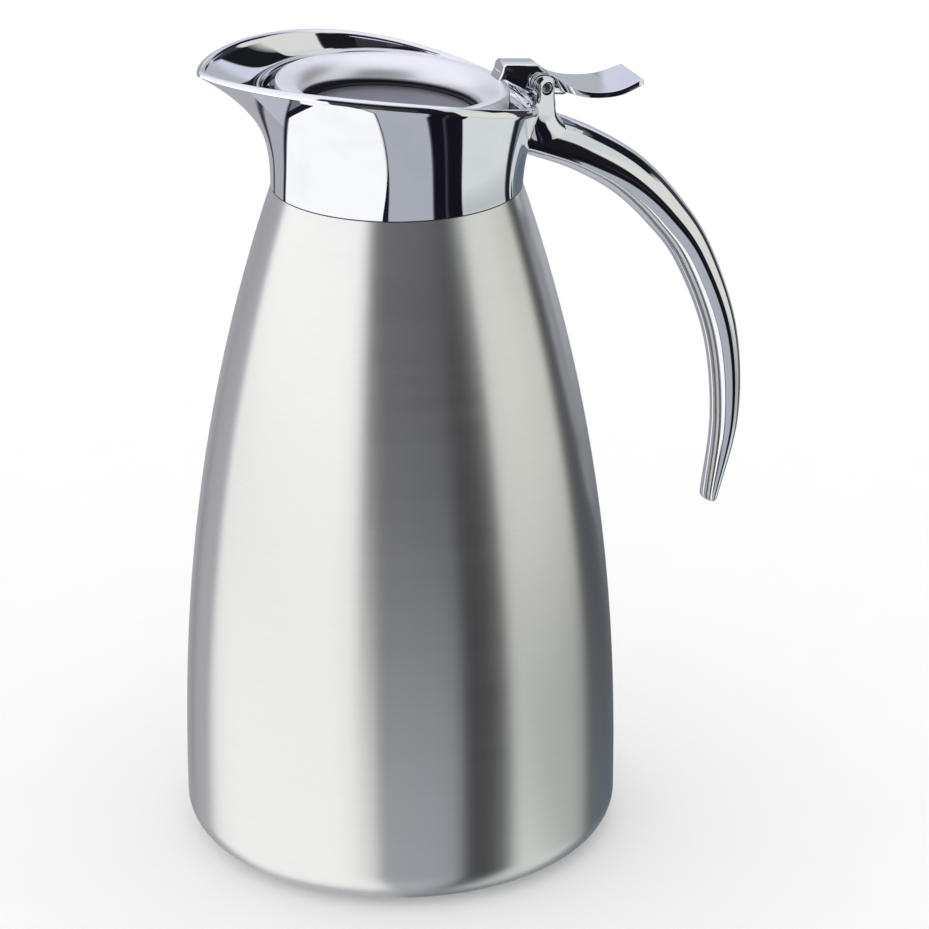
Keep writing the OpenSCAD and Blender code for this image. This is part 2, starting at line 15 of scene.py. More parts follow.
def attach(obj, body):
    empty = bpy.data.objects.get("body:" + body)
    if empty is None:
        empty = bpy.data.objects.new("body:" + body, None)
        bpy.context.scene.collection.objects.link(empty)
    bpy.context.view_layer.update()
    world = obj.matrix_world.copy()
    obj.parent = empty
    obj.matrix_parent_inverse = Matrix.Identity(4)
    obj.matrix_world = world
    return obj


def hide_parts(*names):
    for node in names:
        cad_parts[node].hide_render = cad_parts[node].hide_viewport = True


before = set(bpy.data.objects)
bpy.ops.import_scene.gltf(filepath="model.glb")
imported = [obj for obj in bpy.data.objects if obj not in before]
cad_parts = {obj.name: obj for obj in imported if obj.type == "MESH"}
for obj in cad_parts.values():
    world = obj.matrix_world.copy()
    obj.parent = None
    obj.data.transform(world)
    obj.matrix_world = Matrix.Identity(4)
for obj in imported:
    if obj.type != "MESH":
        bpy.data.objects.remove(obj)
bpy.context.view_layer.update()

scene = bpy.context.scene
MM = 0.001
print("pieces in the working model:", len(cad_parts))

# %% [markdown]
# ## The camera
# The photograph was taken with a long lens from a little above the lid, with the handle to the
# right. A long lens keeps the sides of the body nearly parallel. The place and the direction
# were fitted to the outline of the body, so they are written as plain numbers.

# %% Camera
CAMERA_AT = Vector((-341.24, -994.68, 541.53)) * MM
CAMERA_LOOKS = Vector((0.3168, 0.8705, -0.3767))
LENS = 148.26
SENSOR = 36.0

camera = bpy.data.objects.new("camera", bpy.data.cameras.new("camera"))
scene.collection.objects.link(camera)
camera.location = CAMERA_AT
camera.rotation_mode = "QUATERNION"
camera.rotation_quaternion = CAMERA_LOOKS.to_track_quat("-Z", "Y")
camera.data.sensor_width = SENSOR
camera.data.lens = LENS
camera.data.clip_start = 0.05
camera.data.clip_end = 50
scene.camera = camera
print("camera at", [round(value, 3) for value in camera.location])

# %% [markdown]
# ## Small helpers
# Most of the carafe is turned or drawn, so two ways of making a surface come back all the time.
# `turned` spins a half section round the upright axis, as a lathe does. `grown` starts from a
# circle and extrudes it loop by loop, and a rule puts each loop in its place: it suits forms
# whose section changes, such as the spout's rim and the handle. Every vertex remembers its turn
# round the first circle in a layer, so that the rule can use it. `capped` closes both ends.

# %% Turned and grown surfaces
def turned(points, steps=192):
    """Spins a line of (radius, height) points, in millimetres, round the Z axis."""
    bm = bmesh.new()
    line = [bm.verts.new((r * MM, 0, z * MM)) for r, z in points]
    edges = [bm.edges.new(pair) for pair in zip(line, line[1:])]
    bmesh.ops.spin(bm, geom=line + edges, cent=(0, 0, 0), axis=(0, 0, 1), dvec=(0, 0, 0),
                   angle=2 * math.pi, steps=steps, use_merge=True, use_duplicate=False)
    return cleaned(bm)


def grown(rules, sides):
    """Extrudes a circle through one loop per rule; a rule turns an angle into a place in mm."""
    bm = bmesh.new()
    turn = bm.verts.layers.float.new("turn")
    ring = bmesh.ops.create_circle(bm, segments=sides, radius=1)["verts"]
    for vert in ring:
        vert[turn] = math.atan2(vert.co.y, vert.co.x)
    edges = list({edge for vert in ring for edge in vert.link_edges})
    loops = [edges]
    for number, rule in enumerate(rules):
        if number:
            made = bmesh.ops.extrude_edge_only(bm, edges=edges)["geom"]
            ring = [item for item in made if isinstance(item, bmesh.types.BMVert)]
            own = set(ring)
            edges = list({edge for vert in ring for edge in vert.link_edges if own.issuperset(edge.verts)})
            loops.append(edges)
        for vert in ring:
            vert.co = Vector(rule(vert[turn])) * MM
    return bm, loops


def capped(bm, loops):
    """Closes both ends of a grown tube."""
    for loop in (loops[0], loops[-1]):
        bmesh.ops.contextual_create(bm, geom=loop)
    return cleaned(bm)


# %% [markdown]
# `cleaned` merges what lies on the same spot and turns all faces outwards, which a spin or a
# mirror can leave the wrong way round. `softened` rounds the sharp edges: no real edge is
# perfectly sharp, and on bright metal it is the rounding that catches the light.

# %% Clean and soften
def cleaned(bm):
    bmesh.ops.remove_doubles(bm, verts=bm.verts, dist=0.002 * MM)
    bmesh.ops.recalc_face_normals(bm, faces=bm.faces)
    return bm


def softened(bm, width, above=35, segments=3):
    """Rounds every edge whose faces meet at more than the given angle."""
    limit = math.radians(above)
    sharp = [edge for edge in bm.edges if edge.is_manifold and edge.calc_face_angle(0) > limit]
    bmesh.ops.bevel(bm, geom=sharp, offset=width * MM, offset_type="OFFSET", affect="EDGES",
                    segments=segments, profile=0.5, material=-1, clamp_overlap=True)
    return bm


# %% [markdown]
# `placed` makes the finished object: smooth shading with the sharp edges marked, a material, the
# body it rides on, and the working node it replaces, which it hides.

# %% Finished pieces
def as_object(name, bm):
    """An object of the scene from a bmesh, which is used up."""
    mesh = bpy.data.meshes.new(name)
    bm.to_mesh(mesh)
    bm.free()
    made = bpy.data.objects.new(name, mesh)
    scene.collection.objects.link(made)
    return made


def placed(bm, name, body, slot, material, *nodes, crease=40):
    piece = as_object(name, bm)
    mesh = piece.data
    mesh.shade_smooth()
    mesh.set_sharp_from_angle(angle=math.radians(crease))
    mesh.materials.append(material)
    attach(piece, body)
    if nodes:
        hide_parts(*nodes)
    print(f"{name}: {len(mesh.polygons)} faces")


# %% [markdown]
# `combined` joins or cuts two closed shapes with a Boolean modifier, whose result is read back.
# The other three make the plain shapes that such cuts need: a box, an extruded outline, a bar.

# %% Joining and cutting
def combined(first, second, operation):
    """Both bmeshes are used up; the result is a new one."""
    pair = [as_object("blank", bm) for bm in (first, second)]
    cut = pair[0].modifiers.new("cut", "BOOLEAN")
    cut.operation = operation
    cut.solver = "MANIFOLD"
    cut.object = pair[1]
    shaped = pair[0].evaluated_get(bpy.context.evaluated_depsgraph_get())
    result = bmesh.new()
    result.from_mesh(shaped.to_mesh())
    for used in pair:
        mesh = used.data
        bpy.data.objects.remove(used)
        bpy.data.meshes.remove(mesh)
    return result


def block(low, high):
    """A box between two corners, in millimetres."""
    bm = bmesh.new()
    bmesh.ops.create_cube(bm, size=1)
    low, high = Vector(low), Vector(high)
    for vert in bm.verts:
        vert.co = (low + (high - low) * (vert.co + Vector((0.5, 0.5, 0.5)))) * MM
    return bm


def slab(outline, y0, y1):
    """An outline of (x, z) points, in millimetres, extruded from y0 to y1."""
    bm = bmesh.new()
    face = bm.faces.new([bm.verts.new((x * MM, y0 * MM, z * MM)) for x, z in outline])
    made = bmesh.ops.extrude_face_region(bm, geom=[face])["geom"]
    moved = [item for item in made if isinstance(item, bmesh.types.BMVert)]
    bmesh.ops.translate(bm, verts=moved, vec=(0, (y1 - y0) * MM, 0))
    return cleaned(bm)


def rod(radius, length, centre, sides=64):
    """A round bar along Y."""
    bm = bmesh.new()
    bmesh.ops.create_cone(bm, cap_ends=True, segments=sides, radius1=radius * MM, radius2=radius * MM,
                          depth=length * MM, matrix=Matrix.Rotation(math.pi / 2, 4, "X"))
    bmesh.ops.translate(bm, verts=bm.verts, vec=Vector(centre) * MM)
    return bm


# %% [markdown]
# Round stretches of an outline are arcs, and a free curve is a smooth line through a few points.
# A loft along such a line needs each point's neighbours, and its end is rounded by loops that
# shrink while they move ahead.

# %% Arcs and smooth lines
def arc(cx, cz, radius, start, end, steps=12):
    """Points on a circle between two angles, in degrees."""
    angles = [math.radians(start + (end - start) * i / steps) for i in range(steps + 1)]
    return [(cx + radius * math.cos(a), cz + radius * math.sin(a)) for a in angles]


def smooth_line(points, steps):
    """A Catmull-Rom line through the points, with so many steps between two of them."""
    p = [Vector(point) for point in points]
    p = [2 * p[0] - p[1]] + p + [2 * p[-1] - p[-2]]
    line = []
    for a, b, c, d in zip(p, p[1:], p[2:], p[3:]):
        for i in range(steps):
            t = i / steps
            line.append(0.5 * (2 * b + (c - a) * t + (2 * a - 5 * b + 4 * c - d) * t * t
                               + (3 * b - a - 3 * c + d) * t ** 3))
    return line + [p[-2]]


def neighbours(line):
    """Each point of a line between the one before it and the one after it."""
    ends = [line[0]] + line + [line[-1]]
    return zip(ends, ends[1:], ends[2:])


def rounded_end(radius, steps=6):
    """The (shrink, ahead) of each loop that rounds off the end of a loft, in millimetres."""
    quarter = [math.pi / 2 * step / steps for step in range(steps + 1)]
    return [(radius * (1 - math.cos(t)), radius * (math.sin(t) - 1)) for t in quarter]


# %% [markdown]
# ## Effects that several finishes share
# Each effect is a node group, built once and used with other values in each material. All of
# them read object coordinates in metres, so a scratch has its real size on every piece.

# %% Node helpers
def add(tree, kind, settings=None, **values):
    """Adds a node, sets its properties, and sets inputs: a socket is linked, a value is written."""
    node = tree.nodes.new(kind)
    for name, value in (settings or {}).items():
        setattr(node, name, value)
    for name, value in values.items():
        numbered = name[0] == "i" and name[1:].isdigit()
        plug = node.inputs[int(name[1:]) if numbered else name.replace("_", " ")]
        if isinstance(value, bpy.types.NodeSocket):
            tree.links.new(value, plug)
        else:
            plug.default_value = value
    return node


def maths(tree, operation, *values):
    return add(tree, "ShaderNodeMath", {"operation": operation},
               **{f"i{i}": value for i, value in enumerate(values)}).outputs[0]


def vector_maths(tree, operation, *values):
    return add(tree, "ShaderNodeVectorMath", {"operation": operation},
               **{f"i{i}": value for i, value in enumerate(values)}).outputs[0]


def spread(tree, value, low, high, new_low, new_high):
    """Maps a value from one range to another and stops at its ends."""
    node = add(tree, "ShaderNodeMapRange", {"clamp": True}, Value=value, From_Min=low, From_Max=high,
               To_Min=new_low, To_Max=new_high)
    return node.outputs[0]


def between(tree, amount, first, second):
    """A colour that goes from the first to the second with an amount from 0 to 1."""
    return add(tree, "ShaderNodeMix", {"data_type": "RGBA"}, i0=amount, i6=first, i7=second).outputs[2]


def within(tree, value, low, high):
    """1 where the value lies between two limits, 0 elsewhere."""
    above = maths(tree, "GREATER_THAN", value, low)
    return maths(tree, "MULTIPLY", above, maths(tree, "LESS_THAN", value, high))


def effect(name, inputs, outputs):
    """A new node group; inputs are (name, kind, value), outputs (name, kind)."""
    tree = bpy.data.node_groups.new(name, "ShaderNodeTree")
    for title, kind, value in inputs:
        plug = tree.interface.new_socket(title, in_out="INPUT", socket_type=kind)
        if value is not None:
            plug.default_value = value
    for title, kind in outputs:
        tree.interface.new_socket(title, in_out="OUTPUT", socket_type=kind)
    return tree, tree.nodes.new("NodeGroupInput").outputs, tree.nodes.new("NodeGroupOutput").inputs


FLOAT, VECTOR = "NodeSocketFloat", "NodeSocketVector"

# %% [markdown]
# Brushing leaves fine lines that run one way. Noise is squeezed hard along one axis and drawn
# out along the others, so its cells become lines; a coarser copy makes them stronger and
# weaker in bands, as a worn brush does.

# %% Brushed lines
brushed, given, result = effect(
    "brushed_lines",
    [("Vector", VECTOR, None), ("Across", VECTOR, (0, 0, 3000)), ("Along", VECTOR, (14, 14, 0))],
    [("Lines", FLOAT), ("Bands", FLOAT)])
squeezed = vector_maths(brushed, "MULTIPLY", given["Vector"],
                        vector_maths(brushed, "ADD", given["Across"], given["Along"]))
fine = add(brushed, "ShaderNodeTexNoise", Vector=squeezed, Scale=1.0, Detail=4.0, Roughness=0.65)
coarse_across = vector_maths(brushed, "MULTIPLY", given["Across"], (0.07, 0.07, 0.07))
coarse_place = vector_maths(brushed, "MULTIPLY", given["Vector"],
                            vector_maths(brushed, "ADD", given["Along"], coarse_across))
coarse = add(brushed, "ShaderNodeTexNoise", Vector=coarse_place, Scale=1.0, Detail=3.0, Roughness=0.5)
brushed.links.new(fine.outputs["Fac"], result["Lines"])
brushed.links.new(coarse.outputs["Fac"], result["Bands"])
print("effect:", brushed.name)

# %% [markdown]
# Lathe marks are rings round an axis. The distance from the axis replaces one coordinate, and
# the same kind of squeezed noise turns into circles.

# %% Turned rings
rings, given, result = effect("turned_rings", [("Vector", VECTOR, None), ("Fineness", FLOAT, 2500.0)],
                              [("Lines", FLOAT)])
parts = add(rings, "ShaderNodeSeparateXYZ", Vector=given["Vector"]).outputs
reach = maths(rings, "SQRT", maths(rings, "ADD", maths(rings, "MULTIPLY", parts["X"], parts["X"]),
                                   maths(rings, "MULTIPLY", parts["Y"], parts["Y"])))
ring_place = add(rings, "ShaderNodeCombineXYZ", X=maths(rings, "MULTIPLY", reach, given["Fineness"]),
                 Y=maths(rings, "MULTIPLY", parts["Z"], given["Fineness"])).outputs[0]
ring_noise = add(rings, "ShaderNodeTexNoise", Vector=ring_place, Scale=1.0, Detail=3.0, Roughness=0.6)
rings.links.new(ring_noise.outputs["Fac"], result["Lines"])
print("effect:", rings.name)

# %% [markdown]
# Bright metal is never quite clean. Soft smudges dull it a little where hands and cloths went,
# and hairline scratches cross it in all directions. Both stay faint: this carafe is new.

# %% Handling marks
handled, given, result = effect("handling_marks", [("Vector", VECTOR, None), ("Size", FLOAT, 60.0)],
                                [("Smudge", FLOAT), ("Scratch", FLOAT)])
cloud = add(handled, "ShaderNodeTexNoise", Vector=given["Vector"], Scale=given["Size"], Detail=5.0,
            Roughness=0.6, Distortion=0.6)
smudge = spread(handled, cloud.outputs["Fac"], 0.46, 0.72, 0.0, 1.0)
threads = []
for turn, stretch in (((0.3, 0.2, 0.5), (2600, 90, 90)), ((0.9, -0.4, 2.1), (110, 2300, 110)),
                      ((-0.5, 1.1, 0.8), (90, 110, 2900))):
    placed_in = add(handled, "ShaderNodeMapping", Vector=given["Vector"], Rotation=turn, Scale=stretch)
    grain = add(handled, "ShaderNodeTexNoise", Vector=placed_in.outputs[0], Scale=1.0, Detail=1.0)
    threads.append(spread(handled, grain.outputs["Fac"], 0.68, 0.76, 0.0, 1.0))
scratch = maths(handled, "MAXIMUM", maths(handled, "MAXIMUM", threads[0], threads[1]), threads[2])
handled.links.new(smudge, result["Smudge"])
handled.links.new(scratch, result["Scratch"])
print("effect:", handled.name)

# %% [markdown]
# Moulded plastic and silicone carry the fine grain of their mould and a slow change of gloss.

# %% Moulded grain
moulded, given, result = effect("moulded_grain", [("Vector", VECTOR, None), ("Fineness", FLOAT, 2200.0)],
                                [("Grain", FLOAT), ("Flow", FLOAT)])
grain = add(moulded, "ShaderNodeTexNoise", Vector=given["Vector"], Scale=given["Fineness"], Detail=2.0)
flow = add(moulded, "ShaderNodeTexNoise", Vector=given["Vector"], Scale=45.0, Detail=3.0)
moulded.links.new(grain.outputs["Fac"], result["Grain"])
moulded.links.new(flow.outputs["Fac"], result["Flow"])
print("effect:", moulded.name)

# %% [markdown]
# ## The finishes
# A finish starts the same way each time: a shader with its plain values, the place on the piece,
# and a bump that the finish's own height feeds. Values that are the same all over are written on
# the shader, and only what changes over the surface is linked.

# %% A blank finish
def blank(name, **values):
    material = bpy.data.materials.new(name)
    material.use_nodes = True
    tree = material.node_tree
    shader = tree.nodes["Principled BSDF"]
    for title, value in values.items():
        shader.inputs[title.replace("_", " ")].default_value = value
    return material, tree, shader, add(tree, "ShaderNodeTexCoord").outputs["Object"]


def use(tree, group, **values):
    return add(tree, "ShaderNodeGroup", {"node_tree": group}, **values).outputs


def bumped(tree, shader, height, strength, distance):
    bump = add(tree, "ShaderNodeBump", Strength=strength, Distance=distance * MM, Height=height)
    tree.links.new(bump.outputs["Normal"], shader.inputs["Normal"])


def tinted(tree, shader, amount, low, high):
    """Base colour that goes from one colour to another with an amount from 0 to 1."""
    tree.links.new(between(tree, amount, (*low, 1), (*high, 1)), shader.inputs["Base Color"])


# %% [markdown]
# Chrome plating is a bluish mirror. Its colour comes from the metal, its look from what stands
# round it, so the surface itself stays almost perfectly smooth.

# %% Chrome
def chrome_finish(name, color, dull, clean_rough, smudged_rough):
    material, tree, shader, place = blank(name, Metallic=1.0)
    marks = use(tree, handled, Vector=place, Size=70.0)
    tree.links.new(spread(tree, marks["Smudge"], 0, 1, clean_rough, smudged_rough),
                   shader.inputs["Roughness"])
    tinted(tree, shader, marks["Smudge"], color, dull)
    bumped(tree, shader, marks["Scratch"], 0.04, 0.004)
    return material


chrome = chrome_finish("chrome", (0.90, 0.91, 0.94), (0.86, 0.87, 0.90), 0.025, 0.055)

# %% [markdown]
# The lid is chromed too, but blasted with fine beads before, so it shines softly. The sunken
# disc is painted darker, a painted shade that stands for the dim reflection it shows, and the
# groove round it is painted nearly black, a painted shadow in the gap. Where one ends and the next one
# starts is a distance from the disc's own axis, which the lid's tilt moves off the body's axis.

# %% Satin lid
LID_SHIFT = 1.05
DISC_SHIFT = LID_SHIFT + 0.5
DISC_R = 25.2
GROOVE_STARTS = ((DISC_R - 1.4) * MM, (DISC_R - 1.2) * MM)
GROOVE_ENDS = ((DISC_R + 0.05) * MM, (DISC_R + 0.2) * MM)
# The disc's darker colour is a painted shade that stands for the dim reflection on the disc.
DISC_SHADE_COLOR = (0.21, 0.205, 0.24, 1)
RIM_COLOR = (0.93, 0.93, 0.98, 1)
# The groove's nearly black colour is a painted shadow.
GROOVE_SHADOW_COLOR = (0.02, 0.02, 0.03, 1)


def satin_finish():
    material, tree, shader, place = blank("lid_satin", Metallic=0.75)
    from_axis = vector_maths(tree, "ADD", place, (DISC_SHIFT * MM, 0, 0))
    level = vector_maths(tree, "MULTIPLY", from_axis, (1, 1, 0))
    reach = add(tree, "ShaderNodeVectorMath", {"operation": "LENGTH"}, i0=level).outputs["Value"]
    outside_disc = spread(tree, reach, *GROOVE_STARTS, 0, 1)
    beyond_groove = spread(tree, reach, *GROOVE_ENDS, 0, 1)
    # painted shadow: the groove round the disc is painted nearly black
    groove_shadow = maths(tree, "SUBTRACT", outside_disc, beyond_groove)
    # painted shade: the disc gets a darker colour than the rim
    plain = between(tree, outside_disc, DISC_SHADE_COLOR, RIM_COLOR)
    tree.links.new(between(tree, groove_shadow, plain, GROOVE_SHADOW_COLOR), shader.inputs["Base Color"])
    marks = use(tree, handled, Vector=place, Size=70.0)
    tree.links.new(spread(tree, marks["Smudge"], 0, 1, 0.37, 0.42), shader.inputs["Roughness"])
    grain = use(tree, moulded, Vector=place, Fineness=4500.0)
    bumped(tree, shader, grain["Grain"], 0.12, 0.01)
    return material


lid_satin = satin_finish()

# %% [markdown]
# The body is brushed round and round. Such lines spread a reflection upwards and downwards but
# hardly sideways, which gives the long upright bands of light. The shader's anisotropy does
# that, turned a quarter so that the spread runs up the wall, and the lines show as fine bump.

# %% Brushed steel
def brushed_finish(name, color, dark, across, along, roughness, anisotropic, turn, bump):
    material, tree, shader, place = blank(name, Metallic=1.0, Anisotropic=anisotropic,
                                          Anisotropic_Rotation=turn)
    lines = use(tree, brushed, Vector=place, Across=across, Along=along)
    tinted(tree, shader, spread(tree, lines["Lines"], 0.3, 0.7, 0, 1), dark, color)
    tree.links.new(spread(tree, lines["Bands"], 0.3, 0.7, roughness * 0.97, roughness * 1.03),
                   shader.inputs["Roughness"])
    bumped(tree, shader, lines["Lines"], bump, 0.006)
    tangent = add(tree, "ShaderNodeTangent", {"direction_type": "RADIAL", "axis": "Z"})
    tree.links.new(tangent.outputs[0], shader.inputs["Tangent"])
    return material


body_steel = brushed_finish("body_steel", (0.885, 0.882, 0.862), (0.855, 0.852, 0.832), (0, 0, 3600),
                            (24, 24, 0), 0.31, 0.8, 0.25, 0.10)

# %% [markdown]
# The plates under the base and the hidden flask come from a lathe or a press, so their lines
# are rings round the body's axis.

# %% Turned steel
def turned_finish(name, color, dark, fineness, roughness, bump):
    material, tree, shader, place = blank(name, Metallic=1.0, Roughness=roughness)
    lines = use(tree, rings, Vector=place, Fineness=fineness)
    tinted(tree, shader, spread(tree, lines["Lines"], 0.3, 0.7, 0, 1), dark, color)
    marks = use(tree, handled, Vector=place, Size=55.0)
    tree.links.new(spread(tree, marks["Smudge"], 0, 1, roughness, roughness + 0.08),
                   shader.inputs["Roughness"])
    bumped(tree, shader, lines["Lines"], bump, 0.01)
    return material


base_steel = turned_finish("base_steel", (0.80, 0.79, 0.77), (0.70, 0.69, 0.67), 2200.0, 0.3, 0.25)
flask_steel = turned_finish("flask_steel", (0.78, 0.78, 0.77), (0.72, 0.72, 0.71), 1600.0, 0.2, 0.1)
ring_steel = turned_finish("ring_steel", (0.74, 0.75, 0.76), (0.68, 0.69, 0.70), 3000.0, 0.08, 0.08)
screw_steel = turned_finish("screw_steel", (0.66, 0.66, 0.67), (0.56, 0.56, 0.57), 4000.0, 0.25, 0.2)

# %% [markdown]
# The hinge pin is ground bar and the spring is drawn wire: the lines lie along the work.

# %% Pin, spring and getter
pin_steel = brushed_finish("pin_steel", (0.74, 0.74, 0.76), (0.64, 0.64, 0.66), (5000, 0, 5000), (0, 300, 0),
                           0.22, 0.0, 0.0, 0.1)
spring_steel = brushed_finish("spring_steel", (0.70, 0.70, 0.72), (0.58, 0.58, 0.60), (0, 6000, 0),
                              (900, 0, 900), 0.2, 0.0, 0.0, 0.15)
getter_metal = turned_finish("getter_metal", (0.34, 0.34, 0.36), (0.24, 0.24, 0.26), 5200.0, 0.55, 0.5)

# %% [markdown]
# Black plastic, pale silicone and the foam inside the lid are not metal. Their gloss is the
# plain gloss of plastic, broken by the grain of the mould.

# %% Plastic, silicone and foam
def moulded_finish(name, color, light, fineness, roughness, bump, **values):
    material, tree, shader, place = blank(name, **values)
    grain = use(tree, moulded, Vector=place, Fineness=fineness)
    tinted(tree, shader, spread(tree, grain["Flow"], 0.3, 0.7, 0, 1), color, light)
    tree.links.new(spread(tree, grain["Flow"], 0.3, 0.7, roughness * 0.9, roughness * 1.1),
                   shader.inputs["Roughness"])
    bumped(tree, shader, grain["Grain"], bump, 0.03)
    return material


black_plastic = moulded_finish("black_plastic", (0.018, 0.018, 0.020), (0.028, 0.028, 0.031), 2600.0,
                               0.38, 0.25)
black_seal = moulded_finish("black_seal", (0.012, 0.012, 0.013), (0.020, 0.020, 0.021), 1800.0, 0.6, 0.2)
silicone = moulded_finish("silicone", (0.70, 0.70, 0.67), (0.76, 0.76, 0.73), 1500.0, 0.45, 0.15,
                          Subsurface_Weight=0.2, Subsurface_Scale=0.002)
foam = moulded_finish("foam", (0.80, 0.78, 0.70), (0.88, 0.86, 0.79), 700.0, 0.9, 0.8)
print("finishes:", len(bpy.data.materials))

# %% [markdown]
# ## The body
# The shell is drawn from sheet steel. It stands on a flat ring, turns up in a round edge, and
# draws in towards the shoulder, slowly at first and then faster. A power of the height gives
# that line. The wall is spun, and then gets the thickness of the sheet.

# %% Body shell
BASE_R = 65.04
BASE_ROUND = 9.9
FOOT_R = 50.0
RECESS_UP = 2.6
SHOULDER_R = 36.3
SHOULDER_Z = 201.6
STRAIGHT_Z = 14.0
WALL_POWER = 2.19
SHELL_T = 0.6
NECK_R = 33.4
LIP_Z = 216.5


def wall_radius(z):
    """Radius of the body's outside at the height z."""
    share = max(0, (z - STRAIGHT_Z) / (SHOULDER_Z - STRAIGHT_Z))
    return BASE_R - (BASE_R - SHOULDER_R) * share ** WALL_POWER


def shell_line(steps=72):
    """Half section of the shell's outside, from the foot to the lip."""
    foot = [(FOOT_R, RECESS_UP), (FOOT_R, 0.5), (FOOT_R + 0.15, 0.15), (FOOT_R + 0.5, 0)]
    start = BASE_ROUND + 1
    side = [start + (SHOULDER_Z - start) * i / steps for i in range(steps + 1)]
    return (foot + arc(BASE_R - BASE_ROUND, BASE_ROUND, BASE_ROUND, -90, 0, 16)
            + [(wall_radius(z), z) for z in side]
            + [(NECK_R + 0.6, SHOULDER_Z), (NECK_R, SHOULDER_Z + 0.6), (NECK_R, LIP_Z)])


shell = turned(shell_line(), 256)
bmesh.ops.solidify(shell, geom=shell.faces[:], thickness=SHELL_T * MM)
placed(cleaned(shell), "outer_shell_satin", "carafe", "body_steel", body_steel, "outer_shell")

# %% [markdown]
# The thin black ring under the collar keeps chrome and steel apart. It shows as a dark line.

# %% Seal under the collar
COLLAR_Z = SHOULDER_Z + 0.4
seal = turned([(NECK_R + 0.7, SHOULDER_Z), (SHOULDER_R - 0.2, SHOULDER_Z), (SHOULDER_R - 0.2, COLLAR_Z),
               (NECK_R + 0.7, COLLAR_Z), (NECK_R + 0.7, SHOULDER_Z)])
placed(seal, "collar_seal_ring", "carafe", "black_seal", black_seal, "collar_seal")

# %% [markdown]
# ## The collar and its spout
# The collar is a chromed casting. Its rim is a circle that reaches out to one side as the spout
# and falls towards the hinge. Angles are counted from the spout's tip. Every loop of the
# surface follows the same few rules, so the wall, the rounded lip and the funnel flow into
# each other, and the last loop is bridged to the first inside the bore.

# %% Rules of the rim
RIM_R = 41.0
SPOUT_REACH = 17.7
SPOUT_ANGLE = 41.3
TIP_Z = 240.5
HINGE_RIM_Z = 224.8
RIM_FALL = 2.35
BEAD_R = 1.3
LIP_GROWS = 1.1
LIP_FROM = 5
LIP_OVER = 60
FUNNEL_GAP = 0.05
COLLAR_R = 36.4
BORE_R = 34.95
MOUTH_SHIFT = 1.4
SEAT_R = 38.8
SEAT_TOP_Z = 231.9
SEAT_HINGE_Z = 222.4
RING_W = 2.2
RING_H = 3.0
LEDGE_Z = LIP_Z + 1.5


def rim_radius(a):
    return RIM_R + SPOUT_REACH * math.exp(-(abs(math.degrees(a)) / SPOUT_ANGLE) ** 1.3)


def rim_height(a):
    tip = RIM_R + SPOUT_REACH
    along = (tip - rim_radius(a) * math.cos(a)) / (RIM_R + tip)
    return TIP_Z - (TIP_Z - HINGE_RIM_Z) * max(0, along) ** RIM_FALL


def lip_height(a):
    """How far the lip's outer rounding reaches down: little at the spout, more towards the hinge."""
    share = min(1, max(0, (abs(math.degrees(a)) - LIP_FROM) / LIP_OVER))
    return BEAD_R + LIP_GROWS * share * share * (3 - 2 * share)


def collar_radius(a, z):
    """Outside of the wall: it flares late under the spout and early at the hinge."""
    top = rim_height(a) - lip_height(a)
    share = min(1, max(0, (z - COLLAR_Z) / (top - COLLAR_Z)))
    power = 1.6 + 1.1 * math.exp(-(math.degrees(a) / 60) ** 2)
    return COLLAR_R + (rim_radius(a) - COLLAR_R) * share ** power


def mouth_reach(a, r):
    """Distance from the body's axis to a circle of radius r round the mouth's own axis."""
    return MOUTH_SHIFT * math.cos(a) + math.sqrt(r * r - (MOUTH_SHIFT * math.sin(a)) ** 2)


def seat_height(a):
    along = (SEAT_R + MOUTH_SHIFT - mouth_reach(a, SEAT_R) * math.cos(a)) / (2 * SEAT_R)
    return SEAT_TOP_Z - (SEAT_TOP_Z - SEAT_HINGE_Z) * max(0, along) ** 5


def from_spout(rule):
    """Makes a rule for a place out of one for the radius and the height."""
    def place(turn):
        r, z = rule(turn)
        return (-r * math.cos(turn), -r * math.sin(turn), z)
    return place


def mouth_ring(rules):
    """A closed ring round the mouth: its last loop is bridged to its first."""
    bm, loops = grown([from_spout(rule) for rule in rules], 288)
    bmesh.ops.bridge_loops(bm, edges=loops[0] + loops[-1])
    return cleaned(bm)


fall = rim_height(0) - rim_height(math.pi)
print("the rim is", round(fall, 1), "mm higher at the spout than at the hinge")

# %% [markdown]
# The collar's loops climb the wall, turn over the lip, go down the funnel to the ledge of the
# polished ring and then through the bore. The lip is round at the spout, taller at the hinge.

# %% Collar
WALL_LOOPS = 40
BEAD_LOOPS = 16
FUNNEL_LOOPS = 16


def wall_rule(share):
    def rule(a):
        z = COLLAR_Z + (rim_height(a) - lip_height(a) - COLLAR_Z) * share
        return collar_radius(a, z), z
    return rule


def bead_rule(share):
    def rule(a):
        t = math.pi * share
        tall = lip_height(a) if share < 0.5 else BEAD_R
        return rim_radius(a) - BEAD_R + BEAD_R * math.cos(t), rim_height(a) - tall + tall * math.sin(t)
    return rule


def funnel_rule(share):
    def rule(a):
        top, low = rim_height(a) - BEAD_R, seat_height(a) - 0.3
        inner, ring = rim_radius(a) - 2 * BEAD_R, mouth_reach(a, SEAT_R + FUNNEL_GAP)
        return inner + (ring - inner) * share, low + (top - low) * (1 - share) ** 1.5
    return rule


